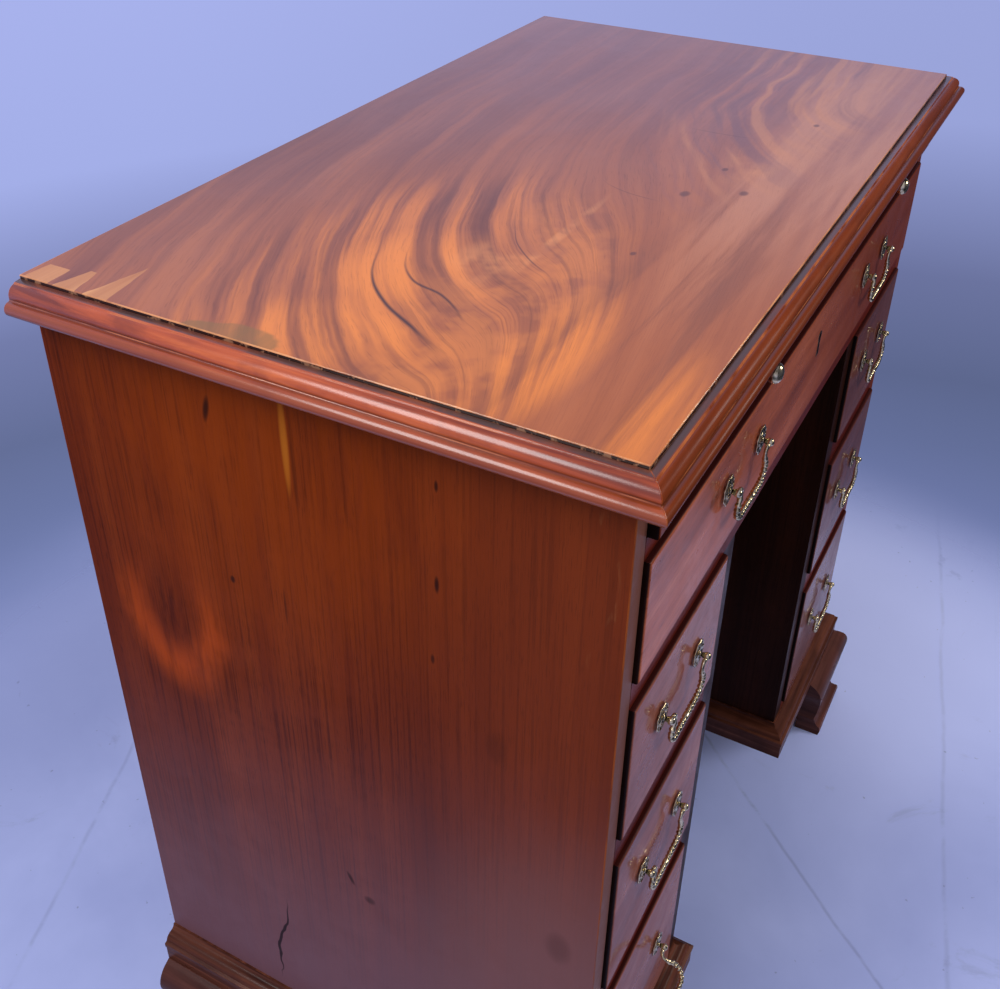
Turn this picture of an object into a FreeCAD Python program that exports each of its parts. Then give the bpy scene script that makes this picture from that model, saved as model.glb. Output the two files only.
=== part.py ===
import FreeCAD
import Part
import math
import os
import re

import Sketcher
from FreeCAD import Placement, Rotation, Vector

# A small kneehole desk. Its front faces -Y and +Z is up. The origin lies on the floor under
# the middle of the desk's overall box. Lengths are millimetres, angles are degrees.

SIZES = (
    # the case
    ("carcase_width", 700),
    ("carcase_depth", 405),
    ("side_thickness", 16),
    ("inner_side_thickness", 22),
    ("pedestal_width", 200),
    ("back_thickness", 10),
    ("back_joint", 0.6),
    # heights, from the floor to the top
    ("foot_height", 108),
    ("skirt_height", 26),
    ("bottom_thickness", 20),
    ("bottom_opening", 158),
    ("middle_opening", 136),
    ("top_opening", 115),
    ("rail_thickness", 20),
    ("short_rail_thickness", 24),
    ("long_opening", 89),
    ("slide_rail_thickness", 15),
    ("slide_opening", 37),
    ("top_thickness", 24),
    # the moulded edges
    ("field_overhang", 6),
    ("top_moulding_width", 16.5),
    ("base_moulding_width", 15.5),
    ("base_moulding_height", 35),
    ("base_rail_thickness", 16),
    # the feet
    ("foot_projection", 32),
    ("foot_inset", 2),
    ("foot_length", 90),
    ("foot_toe_length", 56),
    ("foot_block_width", 42),
    ("back_bracket_thickness", 18),
    # the drawers
    ("front_thickness", 19),
    ("front_proud", 3.6),
    ("front_gap", 1),
    ("front_arris", 2),
    ("running_gap", 0.3),
    ("drawer_side_thickness", 9),
    ("drawer_side_drop", 5),
    ("drawer_back_thickness", 8),
    ("drawer_back_drop", 8),
    ("drawer_back_space", 8),
    ("drawer_bottom_thickness", 6),
    ("drawer_bottom_rise", 9),
    ("stop_width", 30),
    ("stop_depth", 14),
    ("stop_height", 6),
    ("stop_spread", 90),
    ("long_stop_spread", 420),
    # the brushing slide
    ("slide_front_thickness", 22),
    ("slide_proud", 6.5),
    ("slide_arris", 1.5),
    ("slide_panel_thickness", 18),
    ("slide_clamp_width", 62),
    ("slide_back_space", 29.5),
    ("kicker_width", 40),
    ("kicker_gap", 0.5),
    ("slide_knob_spread", 342),
    ("slide_knob_radius", 9),
    ("slide_knob_reach", 13),
    # the handles
    ("handle_spacing", 64),
    ("handle_rise", 8.5),
    ("long_handle_spread", 344),
    ("plate_width", 19),
    ("plate_height", 21.5),
    ("plate_thickness", 1.6),
    ("post_reach", 7.5),
    ("post_length", 8.9),
    ("post_ball_radius", 2.9),
    ("pin_radius", 1),
    ("pin_depth", 1.2),
    ("pin_gap", 0.08),
    ("bail_radius", 1.5),
    ("bail_clearance", 0.5),
    ("bail_neck_radius", 4),
    ("bail_swan_radius", 12),
    ("bail_drop", 25.5),
    ("bail_knop_radius", 2.3),
    ("bail_knop_length", 16),
    # the lock of the long drawer
    ("keyhole_drop", 26),
    ("keyhole_head_radius", 2.6),
    ("keyhole_slot_width", 2.6),
    ("keyhole_slot_height", 15),
    ("keyhole_thread", 1.4),
    ("keyhole_thread_depth", 3),
    ("keyhole_thread_proud", 0.3),
    ("lock_width", 64),
    ("lock_height", 38),
    ("lock_thickness", 9),
    # the cupboard behind the kneehole
    ("recess_depth", 220),
    ("cupboard_shelf_thickness", 14),
    ("cupboard_shelf_setback", 12),
    ("door_thickness", 18),
    ("door_gap", 1.5),
    ("door_frame_width", 48),
    ("door_panel_thickness", 8),
    ("door_panel_setback", 5),
    ("door_field_margin", 22),
    ("door_field_rise", 3),
    ("hinge_leaf_thickness", 1.2),
    ("hinge_radius", 3.2),
    ("hinge_pin_radius", 1.4),
    ("hinge_length", 50),
    ("hinge_gap", 0.3),
    ("hinge_inset", 70),
    ("door_knob_radius", 9),
    ("door_knob_reach", 15),
)

# Where the boards meet, worked out from the sizes.
PLACES = (
    ("half_width", "carcase_width / 2"),
    ("inside_x", "half_width - side_thickness"),
    ("kneehole_x", "half_width - pedestal_width"),
    ("pedestal_x", "kneehole_x + inner_side_thickness"),
    ("short_opening", "inside_x - pedestal_x"),
    ("short_middle_x", "(inside_x + pedestal_x) / 2"),
    ("field_x", "half_width + field_overhang"),
    ("front_y", "(foot_projection - carcase_depth) / 2"),
    ("back_y", "front_y + carcase_depth"),
    ("inside_back_y", "back_y - back_thickness"),
    ("inside_depth", "inside_back_y - front_y"),
    ("face_y", "front_y - front_proud"),
    ("drawer_y", "face_y + front_thickness"),
    ("drawer_depth", "inside_back_y - drawer_back_space - drawer_y"),
    ("slide_y", "front_y - slide_proud + slide_front_thickness"),
    ("slide_depth", "inside_back_y - slide_back_space - slide_y"),
    ("recess_y", "front_y + recess_depth"),
    ("bottom_z", "foot_height + skirt_height"),
    ("floor_z", "bottom_z + bottom_thickness"),
    ("low_rail_z", "floor_z + bottom_opening"),
    ("middle_z", "low_rail_z + short_rail_thickness"),
    ("high_rail_z", "middle_z + middle_opening"),
    ("high_z", "high_rail_z + short_rail_thickness"),
    ("ceiling_z", "high_z + top_opening"),
    ("long_z", "ceiling_z + rail_thickness"),
    ("slide_rail_z", "long_z + long_opening"),
    ("slide_z", "slide_rail_z + slide_rail_thickness"),
    ("top_z", "slide_z + slide_opening"),
    ("kicker_z", "slide_z + running_gap + slide_panel_thickness + kicker_gap"),
    ("foot_curl", "foot_length - foot_toe_length"),
    ("handle_y", "face_y - post_reach"),
    ("long_handle_z", "long_z + long_opening / 2 + handle_rise"),
    ("keyhole_z", "slide_rail_z - keyhole_drop"),
    ("door_z", "floor_z + door_gap"),
    ("door_height", "ceiling_z - door_gap - door_z"),
    ("door_x", "hinge_leaf_thickness * 2 + hinge_gap - kneehole_x"),
    ("door_width", "kneehole_x - door_gap - door_x"),
    ("door_opening_width", "door_width - 2 * door_frame_width"),
    ("door_opening_height", "door_height - 2 * door_frame_width"),
    ("hinge_x", "hinge_radius - kneehole_x"),
    ("hinge_y", "recess_y - hinge_radius"),
)

# Outlines as shares of a width and a height, with the share of its chord by which the line to
# the next point swells outwards, or sinks inwards where it is negative.
top_moulding_shares = (
    (0, 0, 0), (0.6, 0, 0), (0.74, 0.07, 0.46), (0.72, 0.46, 0), (0.66, 0.48, 0), (0.66, 0.51, 0.2),
    (0.32, 0.84, 0), (0.3, 0.87, 0), (0, 0.9, 0),
)
base_moulding_shares = (
    (0, 0, 0), (0.94, 0, 0), (0.94, 0.52, 0.36), (0.93, 0.66, 0), (0.82, 0.68, 0),
    (0.8, 0.71, 0.16), (0.36, 0.86, -0.16), (0.1, 0.97, 0), (0.1, 1, 0), (0, 1, 0),
)
ogee_shares = (
    (0.0625, 0, 0), (0.96, 0, 0), (1, 0.04, 0), (0.96, 0.085, -0.16), (0.71, 0.22, -0.1),
    (0.755, 0.36, 0.035), (0.87, 0.7, 0.2), (0.6, 0.98, 0), (0.47, 1, 0), (0.0625, 1, 0),
)
bracket_share = {"cusp_rise": 0.36, "cusp_start": 0.34, "cusp_end": 0.5, "tip": 0.85, "curve": -0.2}
knob_shares = ((0.38, 0), (0.38, 0.52), (1, 0.52), (1, 0.8), (0.7, 1))
post_shares = ((0.86, 0), (0.5, 0.13), (0.5, 0.4), (1, 0.56), (1, 0.84), (0.5, 1))
rosette_shares = (1, 0.84)
half_share = 0.5
swan_turn = 35
standing_turn = -55
rod_sides = 6
post_sides = 6
knob_sides = 12
rosette_lobes = 8

doc = FreeCAD.newDocument("kneehole_desk")
sheet = doc.addObject("Spreadsheet::Sheet", "Sizes")
for row, (alias, millimetres) in enumerate(SIZES, 1):
    sheet.set(f"A{row}", alias.replace("_", " "))
    sheet.set(f"B{row}", str(millimetres))
    sheet.setAlias(f"B{row}", alias)
doc.recompute()

size_names = {alias for alias, millimetres in SIZES}
place_names = {name for name, formula in PLACES}


def bind(formula, places_prefix="Places."):
    """The formula with every named size and place led back to the object that holds it."""
    def owned(match):
        word = match.group(0)
        if word in size_names:
            return "Sizes." + word
        if word in place_names:
            return places_prefix + word
        return word
    return re.sub(r"[a-z][a-z_]*", owned, formula)


places = doc.addObject("App::VarSet", "Places")
for name, formula in PLACES:
    places.addProperty("App::PropertyFloat", name, "Places")
for name, formula in PLACES:
    places.setExpression(name, bind(formula, ""))
doc.recompute()


def value(formula):
    """A formula's present length, for the shapes that are worked out here."""
    return float(places.evalExpression(bind(formula, "")))


def bind_place(target, corner):
    for axis, formula in zip("xyz", corner):
        target.setExpression(f"Placement.Base.{axis}", bind(formula))


def board(label, corner, extent):
    """A straight board: its lowest corner, then its size along X, Y and Z."""
    box = doc.addObject("Part::Box", label)
    for side, formula in zip(("Length", "Width", "Height"), extent):
        box.setExpression(side, bind(formula))
    bind_place(box, corner)
    return box


def group(label, pieces):
    compound = doc.addObject("Part::Compound", label)
    compound.Links = pieces
    return compound


def mirrored(label, source):
    """The same piece on the other side of the desk's middle."""
    twin = doc.addObject("Part::Mirroring", label)
    twin.Source = source
    twin.Normal = Vector(1, 0, 0)
    return twin


def boolean(kind, label, pieces):
    result = doc.addObject(kind, label)
    result.Shapes = pieces
    return result


def bulged(start, end, bulge):
    """A straight line, or an arc that swells to the right of its way by a share of its chord."""
    if not bulge:
        return Part.LineSegment(start, end)
    chord = end - start
    crown = start + chord / 2 + Vector(chord.y, -chord.x, 0) * bulge
    return Part.Arc(start, crown, end)


def draw(sketch, points):
    """A closed outline whose corners and arcs are held by formulas."""
    corners = [Vector(value(x), value(y), 0) for x, y, bulge in points]
    ends = []
    for index, (start, point) in enumerate(zip(corners, points)):
        following = corners[(index + 1) % len(corners)]
        sketch.addGeometry(bulged(start, following, point[2]))
        nearer = sketch.getPoint(index, 1).distanceToPoint(start)
        farther = sketch.getPoint(index, 2).distanceToPoint(start)
        ends.append((1, 2) if nearer < farther else (2, 1))
    for index, (x, y, bulge) in enumerate(points):
        following = (index + 1) % len(points)
        first, last = ends[index]
        hold(sketch, Sketcher.Constraint("Coincident", index, last, following, ends[following][0]))
        for kind, axis, formula, length in (("DistanceX", -2, x, corners[index].x),
                                            ("DistanceY", -1, y, corners[index].y)):
            if formula == "0":
                hold(sketch, Sketcher.Constraint("PointOnObject", index, first, axis))
            else:
                hold(sketch, Sketcher.Constraint(kind, -1, 1, index, first, length), formula)
        if bulge:
            swell_share = 1 / (8 * abs(bulge)) + abs(bulge) / 2
            to_x, to_y = points[following][:2]
            chord = f"sqrt(({to_x} - ({x}))^2 + ({to_y} - ({y}))^2)"
            radius = value(chord) * swell_share
            hold(sketch, Sketcher.Constraint("Radius", index, radius), f"{chord} * {swell_share}")


def hold(sketch, constraint, formula=None):
    number = sketch.addConstraint(constraint)
    if formula:
        sketch.setExpression(f"Constraints[{number}]", bind(formula))


def scaled(shares, width, height):
    return [(f"{x} * {width}" if x else "0", f"{y} * {height}" if y else "0", bulge)
            for x, y, bulge in shares]


# The faces that an outline is drawn on, for a run along X whose outer side looks along -Y.
ACROSS_RUN = Rotation(Vector(0, -1, 0), Vector(0, 0, 1), Vector(-1, 0, 0), "XYZ")
ALONG_RUN = Rotation(Vector(1, 0, 0), Vector(0, 0, 1), Vector(0, -1, 0), "XYZ")
PLAN = Rotation()


def prism(label, points, face, turn, corner, direction, length, before="0"):
    """An outline drawn on one of the faces of a run and carried along a direction."""
    facing = Rotation(Vector(0, 0, 1), turn)
    sketch = doc.addObject("Sketcher::SketchObject", label + "_outline")
    draw(sketch, points)
    sketch.Placement = Placement(Vector(), facing * face)
    bind_place(sketch, corner)
    solid = doc.addObject("Part::Extrusion", label)
    solid.Base = sketch
    solid.DirMode = "Custom"
    solid.Dir = facing.multVec(direction)
    solid.Solid = True
    solid.setExpression("LengthFwd", bind(length))
    solid.setExpression("LengthRev", bind(before))
    return solid


def mitred_run(label, shares, width, height, run, mitres, turn, corner):
    """A moulding of a given run; a mitre is 1 at an outer corner, -1 at an inner one, 0 for square."""
    first, last = mitres
    profile = prism(label + "_profile", scaled(shares, width, height), ACROSS_RUN, turn, corner,
                    Vector(1, 0, 0), f"{run} + {width}", width)
    plan = prism(label + "_plan", [
        ("0", "0", 0),
        (f"{-first} * {width}" if first else "0", f"-{width}", 0),
        (f"{run} + {last} * {width}" if last else run, f"-{width}", 0),
        (run, "0", 0)], PLAN, turn, corner, Vector(0, 0, 1), height)
    return boolean("Part::MultiCommon", label, [profile, plan])


def rounded_front(label, corner, width, height, thickness, arris):
    """A drawer or slide front, its show edges rounded over; the corner is its back, low and left."""
    body = doc.addObject("PartDesign::Body", label)
    plane = next(item for item in body.Origin.OriginFeatures if item.Role == "XZ_Plane")
    sketch = body.newObject("Sketcher::SketchObject", label + "_outline")
    sketch.AttachmentSupport = (plane, [""])
    sketch.MapMode = "FlatFace"
    draw(sketch, [("0", "0", 0), (width, "0", 0), (width, height, 0), ("0", height, 0)])
    pad = body.newObject("PartDesign::Pad", label + "_board")
    pad.Profile = sketch
    pad.setExpression("Length", bind(thickness))
    bind_place(body, corner)
    doc.recompute()
    depths = [face.CenterOfMass.y for face in pad.Shape.Faces]
    edge = body.newObject("PartDesign::Fillet", label + "_arris")
    edge.Base = (pad, [f"Face{depths.index(min(depths)) + 1}"])
    edge.setExpression("Radius", bind(arris))
    return body


def feature(label, shape, corner=("0", "0", "0"), turn=0):
    piece = doc.addObject("Part::Feature", label)
    piece.Shape = shape
    piece.Placement = Placement(Vector(*[value(formula) for formula in corner]),
                                Rotation(Vector(1, 0, 0), turn))
    return piece


def faceted(rings):
    """A small cast piece drawn with flat sides, through rings of corners from end to end."""
    faces = [Part.Face(Part.makePolygon(ring + ring[:1])) for ring in (rings[0], rings[-1])]
    for near, far in zip(rings, rings[1:]):
        for a, b, c, d in zip(near, near[1:] + near[:1], far[1:] + far[:1], far):
            faces.append(Part.Face(Part.makePolygon([a, b, c, d, a])))
    solid = Part.Solid(Part.Shell(faces))
    if solid.Volume < 0:
        solid.reverse()
    return solid


def spokes(count, share=0):
    """Turns, in radians, of the corners of an even ring."""
    return [2 * math.pi * (step + share) / count for step in range(count)]


def turned(shares, radius, reach, sides, start=0):
    """A turned piece drawn with flat sides, that stands along -Y on a face or some way off it."""
    return faceted([[Vector(math.cos(turn) * radius * x, start - reach * y, math.sin(turn) * radius * x)
                     for turn in spokes(sides, half_share)] for x, y in shares])


# The case: two outer sides, two inner sides beside the kneehole, dustboards between them.
left_side = board("left_side", ("-half_width", "front_y", "foot_height"),
                  ("side_thickness", "carcase_depth", "top_z - foot_height"))
left_inner = board("left_inner_side", ("-pedestal_x", "front_y", "foot_height"),
                   ("inner_side_thickness", "inside_depth", "ceiling_z - foot_height"))
slide_dustboard = board("slide_dustboard", ("-inside_x", "front_y", "slide_rail_z"),
                        ("2 * inside_x", "inside_depth", "slide_rail_thickness"))
long_dustboard = board("long_drawer_dustboard", ("-inside_x", "front_y", "ceiling_z"),
                       ("2 * inside_x", "inside_depth", "rail_thickness"))
left_dustboards = group("left_dustboards", [
    board("left_dustboard_" + name, ("-inside_x", "front_y", level),
          ("short_opening", "inside_depth", "short_rail_thickness"))
    for name, level in (("low", "low_rail_z"), ("high", "high_rail_z"))])
left_bottom = group("left_pedestal_bottom", [
    board("left_bottom_board", ("-inside_x", "front_y", "bottom_z"),
          ("short_opening", "inside_depth", "bottom_thickness")),
    board("left_base_rail", ("-inside_x", "front_y", "foot_height"),
          ("short_opening", "base_rail_thickness", "skirt_height"))])
pedestal_bottoms = group("pedestal_bottoms",
                         [left_bottom, mirrored("right_pedestal_bottom", left_bottom)])
back_count = 3
back_width = f"(2 * inside_x - {back_count - 1} * back_joint) / {back_count}"
back_boards = group("back_boards", [
    board(f"back_board_{number + 1}",
          (f"{number} * ({back_width} + back_joint) - inside_x", "inside_back_y", "foot_height"),
          (back_width, "back_thickness", "top_z - foot_height"))
    for number in range(back_count)])

# The top: a plain field with a mitred moulding planted along its front and both ends.
top_board = board("top_board", ("-field_x", "front_y - field_overhang", "top_z"),
                  ("2 * field_x", "carcase_depth + field_overhang", "top_thickness"))
top_front = mitred_run("top_moulding_front", top_moulding_shares, "top_moulding_width", "top_thickness",
                       "2 * field_x", (1, 1), 0, ("-field_x", "front_y - field_overhang", "top_z"))
top_left = mitred_run("top_moulding_left", top_moulding_shares, "top_moulding_width", "top_thickness",
                      "carcase_depth + field_overhang", (0, 1), -90, ("-field_x", "back_y", "top_z"))

# The base mouldings: round each pedestal and back across the front of the cupboard.
base = (base_moulding_shares, "base_moulding_width", "base_moulding_height")
base_pieces = [
    mitred_run("base_outer", *base, "carcase_depth", (0, 1), -90, ("-half_width", "back_y", "foot_height")),
    mitred_run("base_front", *base, "pedestal_width", (1, 1), 0, ("-half_width", "front_y", "foot_height")),
    mitred_run("base_inner", *base, "recess_depth", (1, -1), 90, ("-kneehole_x", "front_y", "foot_height")),
]
base_recess = mitred_run("base_recess", *base, "2 * kneehole_x", (-1, -1), 0,
                         ("-kneehole_x", "recess_y", "foot_height"))
base_left = group("base_mouldings_left", base_pieces)
base_mouldings = group("base_mouldings",
                       [base_left, mirrored("base_mouldings_right", base_left), base_recess])


def bracket_outline(outer_end):
    """The elevation of a foot's bracket, from its outer end to the tip of its cut-out."""
    rise = f"{bracket_share['cusp_rise']} * foot_height"
    return [
        (outer_end, "0", 0),
        ("foot_toe_length", "0", bracket_share["curve"]),
        (f"foot_toe_length + {bracket_share['cusp_start']} * foot_curl", rise, 0),
        (f"foot_toe_length + {bracket_share['cusp_end']} * foot_curl", rise, bracket_share["curve"]),
        ("foot_length", f"{bracket_share['tip']} * foot_height", 0),
        ("foot_length", "foot_height", 0),
        (outer_end, "foot_height", 0),
    ]


def ogee_bracket(label, turn, corner, toward, mitre):
    """One ogee face of a foot; it runs from its corner, along X or against it, to its bracket tip."""
    outer_end = "-foot_projection" if mitre else "0"
    profile = prism(label + "_profile", scaled(ogee_shares, "foot_projection", "foot_height"),
                    ACROSS_RUN, turn, corner, Vector(toward, 0, 0), "foot_length", "foot_projection")
    flipped = [(f"{toward} * ({x})" if x != "0" else x, y, bulge * toward)
               for x, y, bulge in bracket_outline(outer_end)]
    elevation = prism(label + "_elevation", flipped, ALONG_RUN, turn, corner,
                      Vector(0, -1, 0), "foot_projection")
    pieces = [profile, elevation]
    if mitre:
        pieces.append(prism(label + "_plan", [
            ("0", "0", 0), (f"{toward} * foot_length", "0", 0),
            (f"{toward} * foot_length", "-foot_projection", 0),
            (f"{-toward} * foot_projection", "-foot_projection", 0)],
            PLAN, turn, corner, Vector(0, 0, 1), "foot_height"))
    return boolean("Part::MultiCommon", label, pieces)


# The feet: front pair with two mitred ogee faces, back pair with one and a plain bracket behind.
front_left_foot = group("front_left_foot", [
    ogee_bracket("front_foot_face", 0, ("-half_width", "front_y", "0"), 1, True),
    ogee_bracket("front_foot_return", -90, ("-half_width", "front_y", "0"), -1, True)])
back_left_foot = group("back_left_foot", [
    ogee_bracket("back_foot_side", -90, ("-half_width", "back_y", "0"), 1, False),
    prism("back_foot_back", bracket_outline("-foot_inset"), ALONG_RUN, 0, ("-half_width", "back_y", "0"),
          Vector(0, -1, 0), "back_bracket_thickness")])
block_side = "foot_block_width + foot_inset"
left_blocks = group("left_foot_blocks", [
    board("front_left_block", ("-half_width - foot_inset", "front_y - foot_inset", "0"),
          (block_side, block_side, "foot_height")),
    board("back_left_block", ("-half_width - foot_inset",
                              "back_y - back_bracket_thickness - foot_block_width", "0"),
          (block_side, "foot_block_width", "foot_height"))])
foot_blocks = group("foot_blocks", [left_blocks, mirrored("right_foot_blocks", left_blocks)])

# The brushing slide: a panel clamped at both ends, lipped at the front, with kickers above it.
slide_width = "2 * (inside_x - front_gap)"
slide_panel = board("slide_panel",
                    ("slide_clamp_width + front_gap - inside_x", "slide_y", "slide_z + running_gap"),
                    (f"{slide_width} - 2 * slide_clamp_width", "slide_depth", "slide_panel_thickness"))
left_clamp = board("slide_left_clamp", ("front_gap - inside_x", "slide_y", "slide_z + running_gap"),
                   ("slide_clamp_width", "slide_depth", "slide_panel_thickness"))
slide_frame = group("slide_frame", [
    rounded_front("slide_front", ("front_gap - inside_x", "slide_y", "slide_z + running_gap"), slide_width,
                  "slide_opening - front_gap - running_gap", "slide_front_thickness", "slide_arris"),
    left_clamp, mirrored("slide_right_clamp", left_clamp)])
left_kicker = board("left_kicker", ("-inside_x", "slide_y + running_gap", "kicker_z"),
                    ("kicker_width", "inside_back_y - slide_y - running_gap", "top_z - kicker_z"))
slide_kickers = group("slide_kickers", [left_kicker, mirrored("right_kicker", left_kicker)])
knob = turned(knob_shares, value("slide_knob_radius"), value("slide_knob_reach"), knob_sides)
left_knob = feature("left_slide_knob", knob,
                    ("-slide_knob_spread / 2", "front_y - slide_proud", "(slide_z + top_z) / 2"))
slide_knobs = group("slide_knobs", [left_knob, mirrored("right_slide_knob", left_knob)])


def drawer_box(label, low_x, width, level, opening):
    """Two sides, a back that stands on the bottom, and the bottom between the sides."""
    start = f"{low_x} + front_gap"
    outer = f"{width} - 2 * front_gap"
    inner = f"{outer} - 2 * drawer_side_thickness"
    side_height = f"{opening} - running_gap - drawer_side_drop"
    under = f"{level} + running_gap"
    on_bottom = "drawer_bottom_rise + drawer_bottom_thickness"
    side = ("drawer_side_thickness", "drawer_depth", side_height)
    return group(label, [
        board(label + "_left", (start, "drawer_y", under), side),
        board(label + "_right", (f"{start} + {outer} - drawer_side_thickness", "drawer_y", under), side),
        board(label + "_bottom", (f"{start} + drawer_side_thickness", "drawer_y",
                                  f"{under} + drawer_bottom_rise"),
              (inner, "drawer_depth", "drawer_bottom_thickness")),
        board(label + "_back", (f"{start} + drawer_side_thickness",
                                "drawer_y + drawer_depth - drawer_back_thickness", f"{under} + {on_bottom}"),
              (inner, "drawer_back_thickness", f"{side_height} - {on_bottom} - drawer_back_drop"))])


def drawer_front(label, low_x, width, level, opening):
    return rounded_front(label, (f"{low_x} + front_gap", "drawer_y", f"{level} + running_gap"),
                         f"{width} - 2 * front_gap", f"{opening} - front_gap - running_gap",
                         "front_thickness", "front_arris")


def handle_plate():
    """A cast rosette and the round-tipped post that stands on it, the pin's hole toward -X."""
    thickness = value("plate_thickness")
    edge = [Vector(math.sin(turn) * value("plate_width") / 2, 0, math.cos(turn) * value("plate_height") / 2)
            * rosette_shares[step % 2] for step, turn in enumerate(spokes(2 * rosette_lobes))]
    rosette = Part.Face(Part.makePolygon(edge + edge[:1])).extrude(Vector(0, -thickness, 0))
    radius = value("post_ball_radius")
    post = turned(post_shares, radius, value("post_length"), post_sides, -thickness)
    bore = value("pin_radius + pin_gap") / math.cos(math.pi / post_sides)
    mouth = [Vector(-radius, math.cos(turn) * bore - value("post_reach"), math.sin(turn) * bore)
             for turn in spokes(post_sides, half_share)]
    hole = Part.Face(Part.makePolygon(mouth + mouth[:1])).extrude(
        Vector(value("post_ball_radius + pin_depth + pin_gap"), 0, 0))
    return Part.makeCompound([rosette, post.cut(hole)])


def bail():
    """A swan-neck bail that hangs from its pins, drawn about the middle of the pins' line."""
    inner_end = value("handle_spacing / 2 - post_ball_radius - bail_clearance")
    neck_start = inner_end - value("bail_clearance")
    pin_end = value("handle_spacing / 2 + pin_depth")
    rod = value("bail_radius")
    neck = value("bail_neck_radius")
    swan = value("bail_swan_radius")
    drop = value("bail_drop")
    lean = math.radians(swan_turn)
    bow = (drop - neck - swan * math.sin(lean)) / (1 + math.sin(lean))

    def along(middle, radius, turn):
        return middle + Vector(math.cos(turn), 0, math.sin(turn)) * radius

    swan_middle = Vector(neck_start - neck + swan, 0, -neck)
    bow_middle = along(along(swan_middle, swan, math.pi + lean), bow, math.pi + lean)
    arcs = ((Vector(neck_start, 0, -neck), neck, math.pi / 2, math.pi, 2),
            (swan_middle, swan, math.pi, math.pi + lean, 2),
            (bow_middle, bow, lean, -math.pi / 2, 4))
    half = [(Vector(inner_end, 0, 0), rod), (Vector(neck_start, 0, 0), rod)]
    for middle, radius, start, end, steps in arcs:
        half.extend((along(middle, radius, start + (end - start) * step / steps), rod)
                    for step in range(1, steps + 1))
    half_knop = value("bail_knop_length / 2")
    half.append((Vector(half_knop, 0, -drop), rod))
    half.append((Vector(half_knop / 2, 0, -drop), value("bail_knop_radius")))
    line = half + [(Vector(-point.x, 0, point.z), radius) for point, radius in reversed(half)]
    points = [point for point, radius in line]
    ways = [(after - before).normalize() for before, after in zip(points, points[1:])]
    rings = []
    for (point, radius), before, after in zip(line, ways[:1] + ways, ways + ways[-1:]):
        facing = (before + after).normalize()
        across = Vector(facing.z, 0, -facing.x) / facing.dot(after)
        rings.append([point + (across * math.cos(turn) + Vector(0, 1, 0) * math.sin(turn)) * radius
                      for turn in spokes(rod_sides)])
    pins = [Part.makeCylinder(value("pin_radius"), pin_end - inner_end, Vector(side * inner_end, 0, 0),
                              Vector(side, 0, 0)) for side in (-1, 1)]
    return faceted(rings).fuse(pins)


handle_shape = handle_plate()
bail_shape = bail()


def handle(label, middle_x, level):
    """Two plates with their posts, at the ends of a bail."""
    right = feature(label + "_right", handle_shape, (f"{middle_x} + handle_spacing / 2", "face_y", level))
    twin = doc.addObject("Part::Mirroring", label + "_left")
    twin.Source = right
    twin.Normal = Vector(1, 0, 0)
    twin.setExpression("Base.x", bind(middle_x))
    return group(label, [right, twin])


# The short drawers: three on the left, and their mirror images on the right. The bail of the
# lowest left drawer is stiff and stands out from its front; the others hang.
nodes = []
for name, level, opening in (("top", "high_z", "top_opening"), ("middle", "middle_z", "middle_opening"),
                             ("bottom", "floor_z", "bottom_opening")):
    run = ("-inside_x", "short_opening", level, opening)
    handle_z = f"{level} + {opening} / 2 + handle_rise"
    left_drawer = f"left_{name}_drawer"
    right_drawer = f"right_{name}_drawer"
    pieces = {
        "front": drawer_front(left_drawer + "_front", *run),
        "box": drawer_box(left_drawer + "_box", *run),
        "plates": handle(left_drawer + "_plates", "-short_middle_x", handle_z),
    }
    for piece, source in pieces.items():
        nodes.append(source)
        nodes.append(mirrored(f"{right_drawer}_{piece}", source))
    nodes.append(feature(left_drawer + "_bail", bail_shape, ("-short_middle_x", "handle_y", handle_z),
                         standing_turn if name == "bottom" else 0))
    nodes.append(feature(right_drawer + "_bail", bail_shape, ("short_middle_x", "handle_y", handle_z)))

# The long drawer, with its lock and the keyhole's brass thread.
long_run = ("-inside_x", "2 * inside_x", "long_z", "long_opening")
long_board = drawer_front("long_drawer_board", *long_run)
long_box = drawer_box("long_drawer_box", *long_run)


def keyhole(label, margin, depth, start_y):
    """The outline of a keyhole, with a margin all round it, sunk from a face to a depth."""
    slot = board(label + "_slot", (f"-keyhole_slot_width / 2 - {margin}", start_y,
                                   f"keyhole_z - keyhole_slot_height - {margin}"),
                 (f"keyhole_slot_width + 2 * {margin}", depth, f"keyhole_slot_height + {margin}"))
    head = doc.addObject("Part::Cylinder", label + "_head")
    head.setExpression("Radius", bind(f"keyhole_head_radius + {margin}"))
    head.setExpression("Height", bind(depth))
    head.Placement = Placement(Vector(), Rotation(Vector(1, 0, 0), -90))
    bind_place(head, ("0", start_y, "keyhole_z"))
    return boolean("Part::MultiFuse", label, [slot, head])


def cut(label, base_piece, tool):
    result = doc.addObject("Part::Cut", label)
    result.Base = base_piece
    result.Tool = tool
    return result


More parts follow.
